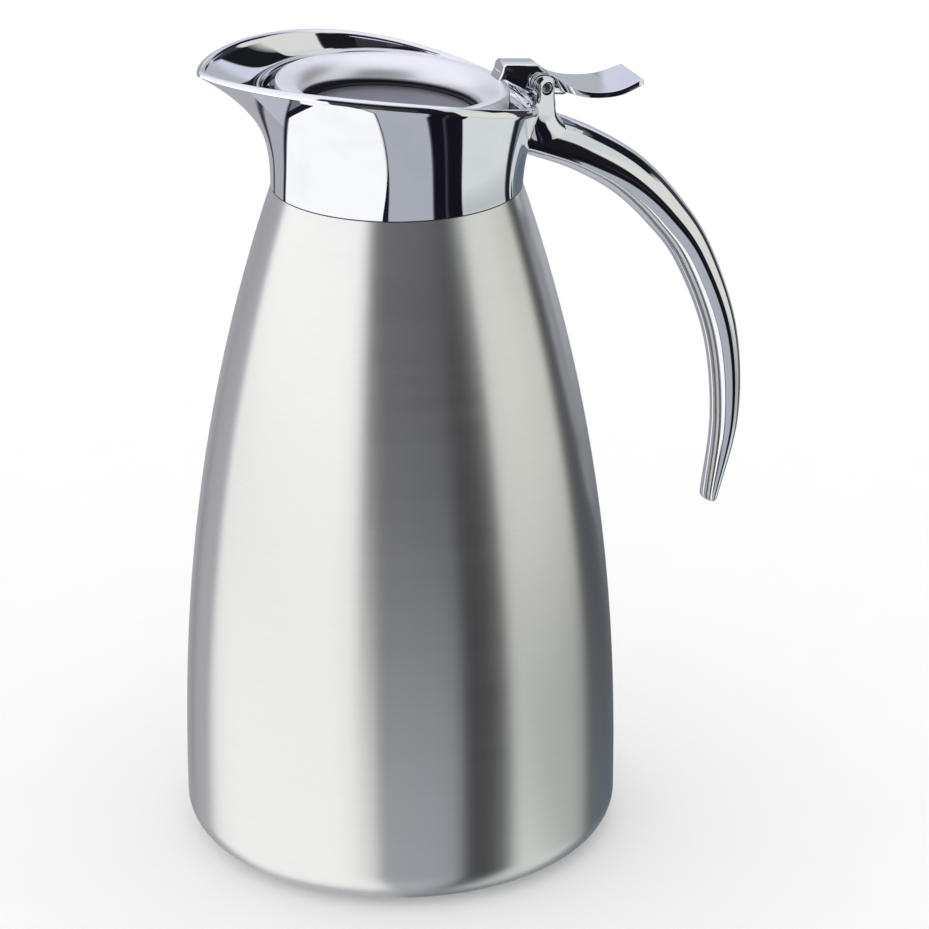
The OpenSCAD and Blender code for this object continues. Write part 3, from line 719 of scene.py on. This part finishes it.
rules = ([wall_rule(i / WALL_LOOPS) for i in range(WALL_LOOPS + 1)]
         + [bead_rule((i + 1) / BEAD_LOOPS) for i in range(BEAD_LOOPS)]
         + [funnel_rule((i + 1) / FUNNEL_LOOPS) for i in range(FUNNEL_LOOPS)]
         + [lambda a: (mouth_reach(a, SEAT_R + FUNNEL_GAP), seat_height(a) - RING_H - FUNNEL_GAP),
            lambda a: (mouth_reach(a, SEAT_R - RING_W), seat_height(a) - RING_H - FUNNEL_GAP),
            lambda a: (BORE_R, LEDGE_Z),
            lambda a: (BORE_R, COLLAR_Z)])
placed(mouth_ring(rules), "spout_collar_chrome", "carafe", "chrome", chrome, "spout_collar")

# %% [markdown]
# ## The ring round the lid
# A polished steel ring lies in the mouth. Its top is rounded, and it falls with the rim.

# %% Seat ring
def ring_rule(t):
    """Round the ring's section: over its rounded top, then down to its flat underside."""
    half = RING_W / 2

    def rule(a):
        s = seat_height(a)
        return mouth_reach(a, SEAT_R - half * (1 - math.cos(t))), s - half + half * math.sin(t)
    return rule


def ring_foot(r):
    return lambda a: (mouth_reach(a, r), seat_height(a) - RING_H)


rules = [ring_foot(SEAT_R)] + [ring_rule(math.pi * i / 12) for i in range(13)] + [ring_foot(SEAT_R - RING_W)]
placed(mouth_ring(rules), "seat_ring_polished", "carafe", "ring_steel", ring_steel, "seat_ring")

# %% [markdown]
# ## The handle
# The handle is one chromed casting: an open bow that grows slimmer towards its free end, and a
# root with two ears that hold the hinge pin. The bow's section is an egg, which draws the
# reflections into stripes. Its widest line lies towards the body at the root and moves to the
# outer side further down, so the hand feels a broad back. Its loops stand square to a smooth
# line through nine stations.

# %% Bow
HANDLE_STATIONS = [(36.0, 214.5, 7.3, 8.5, 0.3), (43.2, 212.0, 7.3, 8.4, 0.28), (56.8, 205.9, 7.2, 8.2, 0.2),
                   (71.0, 196.6, 7.1, 7.7, 0.05), (82.7, 184.5, 6.7, 7.1, -0.08),
                   (93.0, 169.3, 6.1, 6.4, -0.16), (102.3, 144.0, 5.4, 5.7, -0.24),
                   (104.62, 116.2, 4.4, 5.0, -0.24), (100.1, 89.2, 2.4, 4.2, -0.15)]
INNER_SHARE = 0.9
TIP_ROUND = 1.0


def egg_rule(here, before, after, shrink=0.0, ahead=0.0):
    """A loop round a station (x, z, depth, width, shift), square to the line, in the XZ plane and Y."""
    along = (Vector(after[:2]) - Vector(before[:2])).normalized()

    def rule(turn):
        c, s = math.cos(turn), math.sin(turn)
        depth, width, shift = here[2] - shrink, here[3] - shrink, here[4]
        deep = depth * ((1 + shift if c > 0 else INNER_SHARE - shift) * c - shift)
        x = here[0] - along.y * deep + along.x * ahead
        z = here[1] + along.x * deep + along.y * ahead
        return (x, width * s, z)
    return rule


stations = smooth_line(HANDLE_STATIONS, 16)
rules = [egg_rule(here, before, after) for before, here, after in neighbours(stations)]
rules[-1:] = [egg_rule(stations[-1], stations[-2], stations[-1], shrink, ahead)
              for shrink, ahead in rounded_end(TIP_ROUND)]
bow = capped(*grown(rules, 96))
print("the bow has", len(stations), "loops")

# %% [markdown]
# The root and the ears are lofted from level sections. A section is a squared ellipse that is
# widest near the collar and tapers towards the back, which turns the ears' cheeks a little
# away from each other. Higher up the sections get squarer, lower down they grow into the bow.
# The side outline with its round top is cut from that block, then the slot and the bores.

# %% Ears
PIN_X = 43.1
PIN_Z = 227.7
PIN_R = 1.6
PIN = (PIN_X, 0, PIN_Z)
PIN_END_Y = 7.7
EARS_W = 18.0
EAR_T = 2.6
EAR_R = 3.05
EAR_TOP_Z = 224.5
SLOT_FLOOR_Z = 221.2
WIDEST_X = 41.0
CASTING_GAP = 0.12
EAR_SECTIONS = [(210, 34, 54, 8.1, 0.02, 2), (212, 34, 54, 8.4, 0.03, 2.2),
                (214, 34, 52.6, 8.6, 0.06, 2.4), (216, 35, 50, 8.8, 0.12, 2.8),
                (218, 36, 48.3, 8.9, 0.18, 3.4), (220, 37, 47.2, 9, 0.22, 4.5),
                (222, 37.4, 46.6, 9, 0.24, 6), (223.4, 38.4, 46.3, 9, 0.25, 7),
                (225, 40.1, 46.2, 9, 0.25, 7), (232, 40.1, 46.2, 9, 0.25, 7)]


def cheek_rule(section):
    """A level loop from its height, front, back, half width, taper and squareness."""
    z, front, back, width, taper, square = section

    def rule(turn):
        c, s = math.cos(turn), math.sin(turn)
        along = math.copysign(abs(c) ** (2 / square), c) * (back - WIDEST_X if c > 0 else WIDEST_X - front)
        across = math.copysign(abs(s) ** (2 / square), s) * (width - taper * along)
        return (WIDEST_X + along, across, z)
    return rule


ears = capped(*grown([cheek_rule(section) for section in smooth_line(EAR_SECTIONS, 5)], 96))
ear_x, ear_z = PIN_X + 0.1, PIN_Z + 0.2
ear_outline = ([(30, 200), (60, 200), (60, EAR_TOP_Z), (ear_x + EAR_R, EAR_TOP_Z)]
               + arc(ear_x, ear_z, EAR_R, 0, 180, 32)
               + [(ear_x - EAR_R, EAR_TOP_Z), (30, EAR_TOP_Z)])
ears = combined(ears, slab(ear_outline, -EARS_W, EARS_W), "INTERSECT")
collar_room = turned([(0, 190), (COLLAR_R + CASTING_GAP, 190)]
                     + [(collar_radius(math.pi, z) + CASTING_GAP, z) for z in range(202, 224, 2)]
                     + [(RIM_R + CASTING_GAP, HINGE_RIM_Z - 1), (RIM_R + CASTING_GAP, 226), (RIM_R - 1, 245),
                        (0, 245)])
slot_side = EARS_W / 2 - EAR_T
handle = combined(bow, ears, "UNION")
handle = combined(handle, block((30, -slot_side, SLOT_FLOOR_Z), (70, slot_side, 241)), "DIFFERENCE")
handle = combined(handle, collar_room, "DIFFERENCE")
handle = combined(handle, rod(PIN_R, 40, PIN), "DIFFERENCE")
for side in (-1, 1):
    sink = rod(PIN_R + 0.4, 8, (PIN_X, side * (PIN_END_Y + 3.8), PIN_Z))
    handle = combined(handle, sink, "DIFFERENCE")
placed(handle, "handle_bow_and_ears", "carafe", "chrome", chrome, "handle", crease=32)

# %% [markdown]
# ## The hinge
# The pin is a plain turned bar with rounded ends, sunk a little into the ears.

# %% Pin
pin = softened(rod(PIN_R, 2 * PIN_END_Y, PIN), 0.3)
placed(pin, "hinge_pin_turned", "carafe", "pin_steel", pin_steel, "hinge_pin")

# %% [markdown]
# A double torsion spring shuts the lid: one coil on each side of the lever, with the wire
# crossing under the thumb plate. The wire's middle line is worked out from the coil's radius
# and the two points its legs reach, and a small circle is grown along it.

# %% Spring
LEVER_W = 7.6
WIRE = 0.6
COIL_R = 2.5
LEG_DOWN = Vector((46.3, 221.7))
LEG_PLATE = Vector((50.4, 224.35))
TURN_STEPS = 32


def tangent_angle(point, side):
    """Angle at which a straight leg to the point leaves the coil."""
    reach = point - Vector((PIN_X, PIN_Z))
    return math.atan2(reach.y, reach.x) + side * math.acos(COIL_R / reach.length)


def spring_half(side):
    inside, outside = LEVER_W / 2 + 0.4, EARS_W / 2 - EAR_T - 0.4
    start = tangent_angle(LEG_DOWN, 1)
    end = tangent_angle(LEG_PLATE, -1) + 4 * math.pi
    steps = round((end - start) / (2 * math.pi) * TURN_STEPS)
    line = [Vector((LEG_DOWN.x, side * outside, LEG_DOWN.y))]
    for i in range(steps + 1):
        t = start + (end - start) * i / steps
        line.append(Vector((PIN_X + COIL_R * math.cos(t), side * (outside + (inside - outside) * i / steps),
                            PIN_Z + COIL_R * math.sin(t))))
    bend = smooth_line([(LEG_PLATE.x - 0.9, inside, LEG_PLATE.y + 0.1),
                        (LEG_PLATE.x - 0.25, inside - 0.2, LEG_PLATE.y),
                        (LEG_PLATE.x, inside - 0.9, LEG_PLATE.y)], 6)
    return line + [Vector((p.x, side * p.y, p.z)) for p in bend]


def wire_rule(here, before, after):
    along = (after - before).normalized()
    across = along.cross(Vector((0, 1, 0)) if abs(along.y) < 0.8 else Vector((0, 0, 1))).normalized()
    upward = along.cross(across)
    return lambda t: here + (across * math.cos(t) + upward * math.sin(t)) * WIRE / 2


wire_line = spring_half(-1) + spring_half(1)[::-1]
spring = capped(*grown([wire_rule(here, before, after)
                        for before, here, after in neighbours(wire_line)], 12))
placed(spring, "return_spring_wire", "carafe", "spring_steel", spring_steel, "return_spring")

# %% [markdown]
# ## The thumb lever
# The lever is a small chromed casting: a faceted block that stands on the lid, a barrel on the
# pin, and a thin plate that curves up under the thumb. The block is an extruded outline with its
# edges beveled.

# %% Block and barrel
PIN_CLEARANCE = 0.05
BARREL_R = 3.5
BLOCK = [(29.3, 226.5), (29.3, 229.1), (30, 230.1), (31, 232.1), (31.5, 233.9), (32.3, 234.7), (42.1, 233.7),
         (43, 232.6), (45.4, 230.8), (47, 228.4), (46.5, 226.2), (39, 225.3), (36.3, 225.6), (34.8, 227.3),
         (33.2, 228.2), (33.2, 226.5)]
lever = softened(slab(BLOCK, -LEVER_W / 2, LEVER_W / 2), 0.8, above=60, segments=4)
lever = combined(lever, rod(BARREL_R, LEVER_W - 0.02, PIN), "UNION")

# %% [markdown]
# The plate fans out behind the ears, is widest in its middle and draws in a little towards its
# end. It is lofted: each loop is a rectangle with rounded corners that stands between a point of
# the top line and one of the underside. Two bars cut the room for the spring's coils.

# %% Thumb plate
PLATE_ROUND = 0.2
PLATE_END_ROUND = 0.6
COIL_ROOM_R = 3.2
PLATE_TOP = [(43.2, 231.5), (45, 230.9), (47.2, 229.5), (50.3, 227.6), (54.5, 226.1), (60.5, 225.3),
             (66, 225.6), (72.9, 227.7)]
PLATE_UNDER = [(46.4, 225.8), (47.4, 225.7), (48.8, 225.6), (51.2, 225.2), (54.5, 224.3), (60, 223.6),
               (66, 223.8), (73.3, 225.9)]
PLAN = [(42, 3.8), (44, 3.8), (46, 4.8), (48.2, 6.8), (50.6, 9.0), (54, 9.9), (59, 10.1),
        (65, 9.7), (73.4, 8.5)]
plan_line = smooth_line(PLAN, 6)


def plan_width(x):
    """Half width of the plate at x: it fans out behind the ears and draws in a little at its end."""
    for before, after in zip(plan_line, plan_line[1:]):
        if x < after.x:
            return before.y + (after.y - before.y) * max(0, x - before.x) / (after.x - before.x)
    return PLAN[-1][1]


def plate_rule(top, under, shrink=0.0, ahead=0.0):
    top, under = Vector(top), Vector(under)
    middle, upward = (top + under) / 2, (top - under).normalized()
    along = Vector((upward.y, -upward.x))
    half = (top - under).length / 2 - shrink
    width = plan_width(middle.x) - shrink
    corner = min(PLATE_ROUND, half * 0.95)

    def rule(turn):
        c, s = math.cos(turn), math.sin(turn)
        y = math.copysign(width - corner, c) + corner * c
        up = math.copysign(half - corner, s) + corner * s
        place = middle + upward * up + along * ahead
        return (place.x, y, place.y)
    return rule


tops, unders = smooth_line(PLATE_TOP, 8), smooth_line(PLATE_UNDER, 8)
rules = [plate_rule(top, under) for top, under in zip(tops, unders)]
rules[-1:] = [plate_rule(tops[-1], unders[-1], shrink, ahead)
              for shrink, ahead in rounded_end(PLATE_END_ROUND)]
plate = capped(*grown(rules, 64))
for side in (-1, 1):
    coil_room = rod(COIL_ROOM_R, 10, (PIN_X, side * (LEVER_W / 2 + 5), PIN_Z))
    plate = combined(cleaned(plate), coil_room, "DIFFERENCE")
lever = combined(lever, plate, "UNION")
lever = combined(lever, rod(PIN_R + PIN_CLEARANCE, 40, PIN), "DIFFERENCE")
placed(lever, "thumb_lever_chrome", "lid", "chrome", chrome, "thumb_lever", crease=32)

# %% [markdown]
# ## The lid
# The lid's cap is pressed from sheet: a shallow dish that rises from a sunken disc to a rounded
# edge and drops straight down outside, tilted a little towards the hinge. A fine groove runs
# round the disc. The whole closed section is turned, then tilted and put in its place.

# %% Cap
LID_TILT = math.radians(3.6)
LID_R = 33.5
CREST_R = 32.3
CREST_Z = 232.0
DISC_DROP = 7.8
SKIRT_DROP = 7.0
CAP_T = 1.0
GROOVE_W = 0.8
GROOVE_DEEP = 0.5
FOOT_RISE = 0.5


def dish(inner_r, inner_z, outer_r, outer_z, steps=32):
    """A quarter of an ellipse: steep at the inner end, level at the outer one."""
    angles = [math.pi / 2 * i / steps for i in range(steps + 1)]
    return [(outer_r - (outer_r - inner_r) * math.cos(a), inner_z + (outer_z - inner_z) * math.sin(a))
            for a in angles]


groove_out, groove_in = DISC_R - 0.5, DISC_R - 0.5 - GROOVE_W
outside = ([(r, -DISC_DROP) for r in (0.001, 6, 12, 18)]
           + arc(groove_in - 0.2, -DISC_DROP - 0.2, 0.2, 90, 0, 4)
           + arc(groove_in + 0.25, -DISC_DROP - GROOVE_DEEP + 0.25, 0.25, 180, 270, 4)
           + arc(groove_out - 0.15, -DISC_DROP - GROOVE_DEEP + 0.15, 0.15, -90, 0, 4)
           + arc(groove_out + 0.1, -DISC_DROP - 0.1, 0.1, 180, 90, 3)
           + dish(DISC_R, -DISC_DROP + FOOT_RISE, CREST_R, 0)
           + arc(CREST_R, CREST_R - LID_R, LID_R - CREST_R, 84, 0, 12)
           + [(LID_R, -SKIRT_DROP + 0.2), (LID_R - 0.2, -SKIRT_DROP)])
inside = ([(LID_R - CAP_T, -SKIRT_DROP), (LID_R - CAP_T, -2.2), (CREST_R - 0.2, -CAP_T)]
          + dish(DISC_R + 0.9, -DISC_DROP - 0.2, CREST_R - 0.4, -CAP_T)[-2:0:-1]
          + [(DISC_R, -DISC_DROP - CAP_T), (0.001, -DISC_DROP - CAP_T)])
cap = turned(outside + inside + outside[:1], 256)
cap_place = Matrix.Translation(Vector((-LID_SHIFT, 0, CREST_Z)) * MM) @ Matrix.Rotation(LID_TILT, 4, "Y")
bmesh.ops.transform(cap, matrix=cap_place, verts=cap.verts)
notch_side = LEVER_W / 2 + 0.05
cap = combined(cap, block((29.25, -notch_side, 216), (41, notch_side, 246)), "DIFFERENCE")
placed(cap, "lid_cap_satin", "lid", "chrome", lid_satin, "lid_cap", crease=35)

# %% [markdown]
# ## Pieces that stay as they are
# The inner pieces have the right shape in the working model, so they only get a finish.

# %% Finishes of the inner pieces
KEPT = {"base_plate": base_steel, "base_cap": base_steel, "inner_flask": flask_steel, "getter": getter_metal,
        "vacuum_seal": getter_metal, "neck_ring": black_plastic, "neck_gasket": silicone,
        "handle_screws": screw_steel, "lid_stopper": black_plastic, "lid_insulation": foam,
        "lid_gasket": silicone, "lid_screws": screw_steel}
for name, finish in KEPT.items():
    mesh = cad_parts[name].data
    mesh.materials.clear()
    mesh.materials.append(finish)
print("kept pieces with a finish of their own:", len(KEPT))

# %% [markdown]
# ## The studio
# Chrome shows the room, so the room is part of the picture. The product stands in a white tent:
# broad white panels to the left and the right, a dark curtain with the camera in front of it,
# and a soft white ceiling. Seen from the carafe the panels are upright stripes. The world holds
# them as three rows of stripes, low, middle and high. Mirrors see those, and dull surfaces get
# one plain, even light. A stripe is the angle where it starts, in degrees, and its colour.

# %% Stripes round the carafe
CAMERA_SIDE = 109.0     # turns the X axis until zero looks from the carafe to the camera
LOW_STRIPES = [(-180, (0.42, 0.42, 0.46)), (-152, (0.04, 0.04, 0.05)), (-147.5, (0.42, 0.42, 0.47)),
               (-126.5, (0.01, 0.01, 0.02)), (-122, (1.04, 1.04, 1.05)), (-9.6, (0.01, 0.01, 0.02)),
               (-8, (0.43, 0.45, 0.50)), (33.5, (0.008, 0.007, 0.013)), (46.4, (0.09, 0.09, 0.11)),
               (47.6, (0.008, 0.007, 0.013)), (62.5, (0.70, 0.74, 0.73)), (118, (0.02, 0.02, 0.03)),
               (126, (0.17, 0.21, 0.25))]
MIDDLE_STRIPES = [(-180, (0.36, 0.36, 0.40)), (-117, (1.18, 1.18, 1.19)), (-22, (0.06, 0.06, 0.065)),
                  (8, (0.035, 0.035, 0.04)), (30, (0.01, 0.01, 0.012)), (58, (0.76, 0.76, 0.72)),
                  (114, (0.04, 0.04, 0.05)), (142, (0.46, 0.48, 0.52))]
HIGH_STRIPES = [(-180, (0.66, 0.68, 0.80)), (-130, (1.0, 1.0, 1.03)), (-28, (0.012, 0.011, 0.018)),
                (52, (0.66, 0.70, 0.69)), (98, (0.010, 0.010, 0.015)), (142, (0.66, 0.68, 0.80))]
STRIPE_EDGE = 0.8


def striped(tree, place, stripes):
    """A colour ramp with one flat step for each stripe and a narrow soft edge between them."""
    ramp = add(tree, "ShaderNodeValToRGB", Fac=place)
    steps = [(stripes[0][0], stripes[0][1])]
    for (_, before), (start, color) in zip(stripes, stripes[1:]):
        steps += [(start - STRIPE_EDGE / 2, before), (start + STRIPE_EDGE / 2, color)]
    elements = ramp.color_ramp.elements
    while len(elements) < len(steps):
        elements.new(1)
    for element, (degrees, color) in zip(elements, steps):
        element.position = degrees / 360 + 0.5
        element.color = (*color, 1)
    return ramp.outputs["Color"]


world = bpy.data.worlds.new("studio")
scene.world = world
world.use_nodes = True
tree = world.node_tree
tree.nodes.clear()
looks = add(tree, "ShaderNodeTexCoord").outputs["Generated"]
turned_looks = add(tree, "ShaderNodeVectorRotate", {"rotation_type": "Z_AXIS"}, Vector=looks,
                   Angle=math.radians(CAMERA_SIDE)).outputs[0]
parts = add(tree, "ShaderNodeSeparateXYZ", Vector=turned_looks).outputs
around = maths(tree, "DIVIDE", maths(tree, "ARCTAN2", parts["Y"], parts["X"]), 2 * math.pi)
around = maths(tree, "ADD", around, 0.5)
side = maths(tree, "MULTIPLY", maths(tree, "SUBTRACT", around, 0.5), 360)
height = maths(tree, "MULTIPLY", maths(tree, "ARCSINE", parts["Z"]), 180 / math.pi)
low, middle, high = [striped(tree, around, row) for row in (LOW_STRIPES, MIDDLE_STRIPES, HIGH_STRIPES)]
print("stripes:", len(LOW_STRIPES), "low,", len(MIDDLE_STRIPES), "middle and", len(HIGH_STRIPES), "high")

# %% [markdown]
# Four things are no plain stripes: a dark gap that leans, the left panel's curved foot with the
# shadow below it, a pale sheet beside that, and the panel's thin dark seam. Limits on the side
# and on the height, both in degrees, mark them.

# %% Gap, foot, sheet and seam
BLACK = (0.01, 0.01, 0.02, 1)
GAP_END = -8.0
GAP_START = -17.0
GAP_LEAN = 0.2
gap_start = maths(tree, "SUBTRACT", GAP_START, maths(tree, "MULTIPLY", height, GAP_LEAN))
in_gap = within(tree, side, gap_start, GAP_END)

FOOT_LEFT = -122
FOOT_BEND = 30
FOOT_DEPTH = 82
FOOT_RISE_LEFT = 24
FOOT_SIDES = (-124, -12)
FOOT_HALF = 2.5
FOOT_SHADOW = (0.18, 0.18, 0.21, 1)
SHEET_END = -127
SHEET_TOP = -48
SHEET_COLOR = (0.50, 0.51, 0.58, 1)
rise = maths(tree, "EXPONENT", maths(tree, "DIVIDE", maths(tree, "SUBTRACT", side, FOOT_LEFT), -FOOT_BEND))
above_foot = maths(tree, "SUBTRACT", maths(tree, "ADD", height, FOOT_DEPTH),
                   maths(tree, "MULTIPLY", rise, FOOT_RISE_LEFT))
under_panel = maths(tree, "MULTIPLY", within(tree, side, *FOOT_SIDES),
                    maths(tree, "LESS_THAN", above_foot, FOOT_HALF))
on_foot = maths(tree, "MULTIPLY", under_panel, maths(tree, "GREATER_THAN", above_foot, -FOOT_HALF))
on_sheet = maths(tree, "MULTIPLY", maths(tree, "LESS_THAN", side, SHEET_END),
                 maths(tree, "LESS_THAN", height, SHEET_TOP))
for mask, color in ((in_gap, BLACK), (on_sheet, SHEET_COLOR), (under_panel, FOOT_SHADOW), (on_foot, BLACK)):
    low = between(tree, mask, low, color)

SEAM_HEIGHTS = (-11, -7)
SEAM_SIDES = (-112, -22)
SEAM_COLOR = (0.03, 0.03, 0.04, 1)
on_seam = maths(tree, "MULTIPLY", within(tree, height, *SEAM_HEIGHTS), within(tree, side, *SEAM_SIDES))
middle = between(tree, on_seam, middle, SEAM_COLOR)
print("nodes in the room so far:", len(tree.nodes))

# %% [markdown]
# Over the low row come the other layers. Each fades in between two heights, in degrees.

# %% The room
CEILING = (0.92, 0.92, 1.0, 1)
UNDERSIDE = (0.35, 0.35, 0.37, 1)
LAYERS = [(-17, -14, middle), (14, 18, high), (34, 54, CEILING), (-74, -84, UNDERSIDE)]
panels = low
for starts, full, layer in LAYERS:
    panels = between(tree, spread(tree, height, starts, full, 0, 1), panels, layer)
rays = add(tree, "ShaderNodeLightPath").outputs
mirrored = maths(tree, "MAXIMUM", rays["Is Glossy Ray"], rays["Is Transmission Ray"])
seen = between(tree, mirrored, (1, 1, 1, 1), panels)
light = add(tree, "ShaderNodeBackground", Color=seen, Strength=1.0)
tree.links.new(light.outputs[0], add(tree, "ShaderNodeOutputWorld").inputs["Surface"])
scene.view_settings.view_transform = "Standard"
print("nodes in the whole room:", len(tree.nodes))

# %% [markdown]
# The floor is pale and matt, and so bright that it melts into the background. Only the soft
# shadow round the foot shows where the carafe stands.

# %% Floor
FLOOR_HALF = 6
FLOOR_LOW = (0.955, 0.955, 0.955)
FLOOR_HIGH = (0.965, 0.965, 0.965)
floor_bm = bmesh.new()
bmesh.ops.create_grid(floor_bm, x_segments=1, y_segments=1, size=FLOOR_HALF)
floor = as_object("floor", floor_bm)
floor_paint, tree, shader, place = blank("floor_paint", Roughness=0.9, Specular_IOR_Level=0.0,
                                         Emission_Color=(1, 1, 1, 1), Emission_Strength=0.05)
paper = use(tree, moulded, Vector=place, Fineness=300.0)
tinted(tree, shader, spread(tree, paper["Flow"], 0.3, 0.7, 0, 1), FLOOR_LOW, FLOOR_HIGH)
floor.data.materials.append(floor_paint)
floor.visible_glossy = False
print("the floor is", 2 * FLOOR_HALF, "m wide")

# %% [markdown]
# On the right the floor lies in the shade of a dark card. Only mirrors that look along the floor
# see this shade: a disc just under the floor that fades out away from the carafe's foot.

# %% Shade for the mirrors
SHADE_R = 0.7
SHADE_UNDER = 0.5 * MM
SHADE_REACH = (0.20, 0.68)
SHADE_DEPTH = (0.75, 0.08)
SHADE_SIDE = (0.45, 0.72)
SHADE_GRAZING = (0.5, 0.64)
shade_bm = bmesh.new()
bmesh.ops.create_circle(shade_bm, cap_ends=True, segments=64, radius=SHADE_R)
bmesh.ops.translate(shade_bm, verts=shade_bm.verts, vec=(0, 0, -SHADE_UNDER))
shade = as_object("floor_shade", shade_bm)
shade_paint, tree, shader, place = blank("shade_paint", Base_Color=(0, 0, 0, 1), Roughness=1.0,
                                         Specular_IOR_Level=0.0)
reach = add(tree, "ShaderNodeVectorMath", {"operation": "LENGTH"}, i0=place).outputs["Value"]
rightward = maths(tree, "DIVIDE", add(tree, "ShaderNodeSeparateXYZ", Vector=place).outputs["X"], reach)
grazing = add(tree, "ShaderNodeLayerWeight", Blend=0.5).outputs["Facing"]
depth = maths(tree, "MULTIPLY", spread(tree, reach, *SHADE_REACH, *SHADE_DEPTH),
              spread(tree, rightward, *SHADE_SIDE, 0, 1))
depth = maths(tree, "MULTIPLY", depth, spread(tree, grazing, *SHADE_GRAZING, 0, 1))
tree.links.new(depth, shader.inputs["Alpha"])
shade.data.materials.append(shade_paint)
shade.visible_camera = False
shade.visible_diffuse = False
shade.visible_shadow = False
print("the shade reaches", SHADE_R, "m")
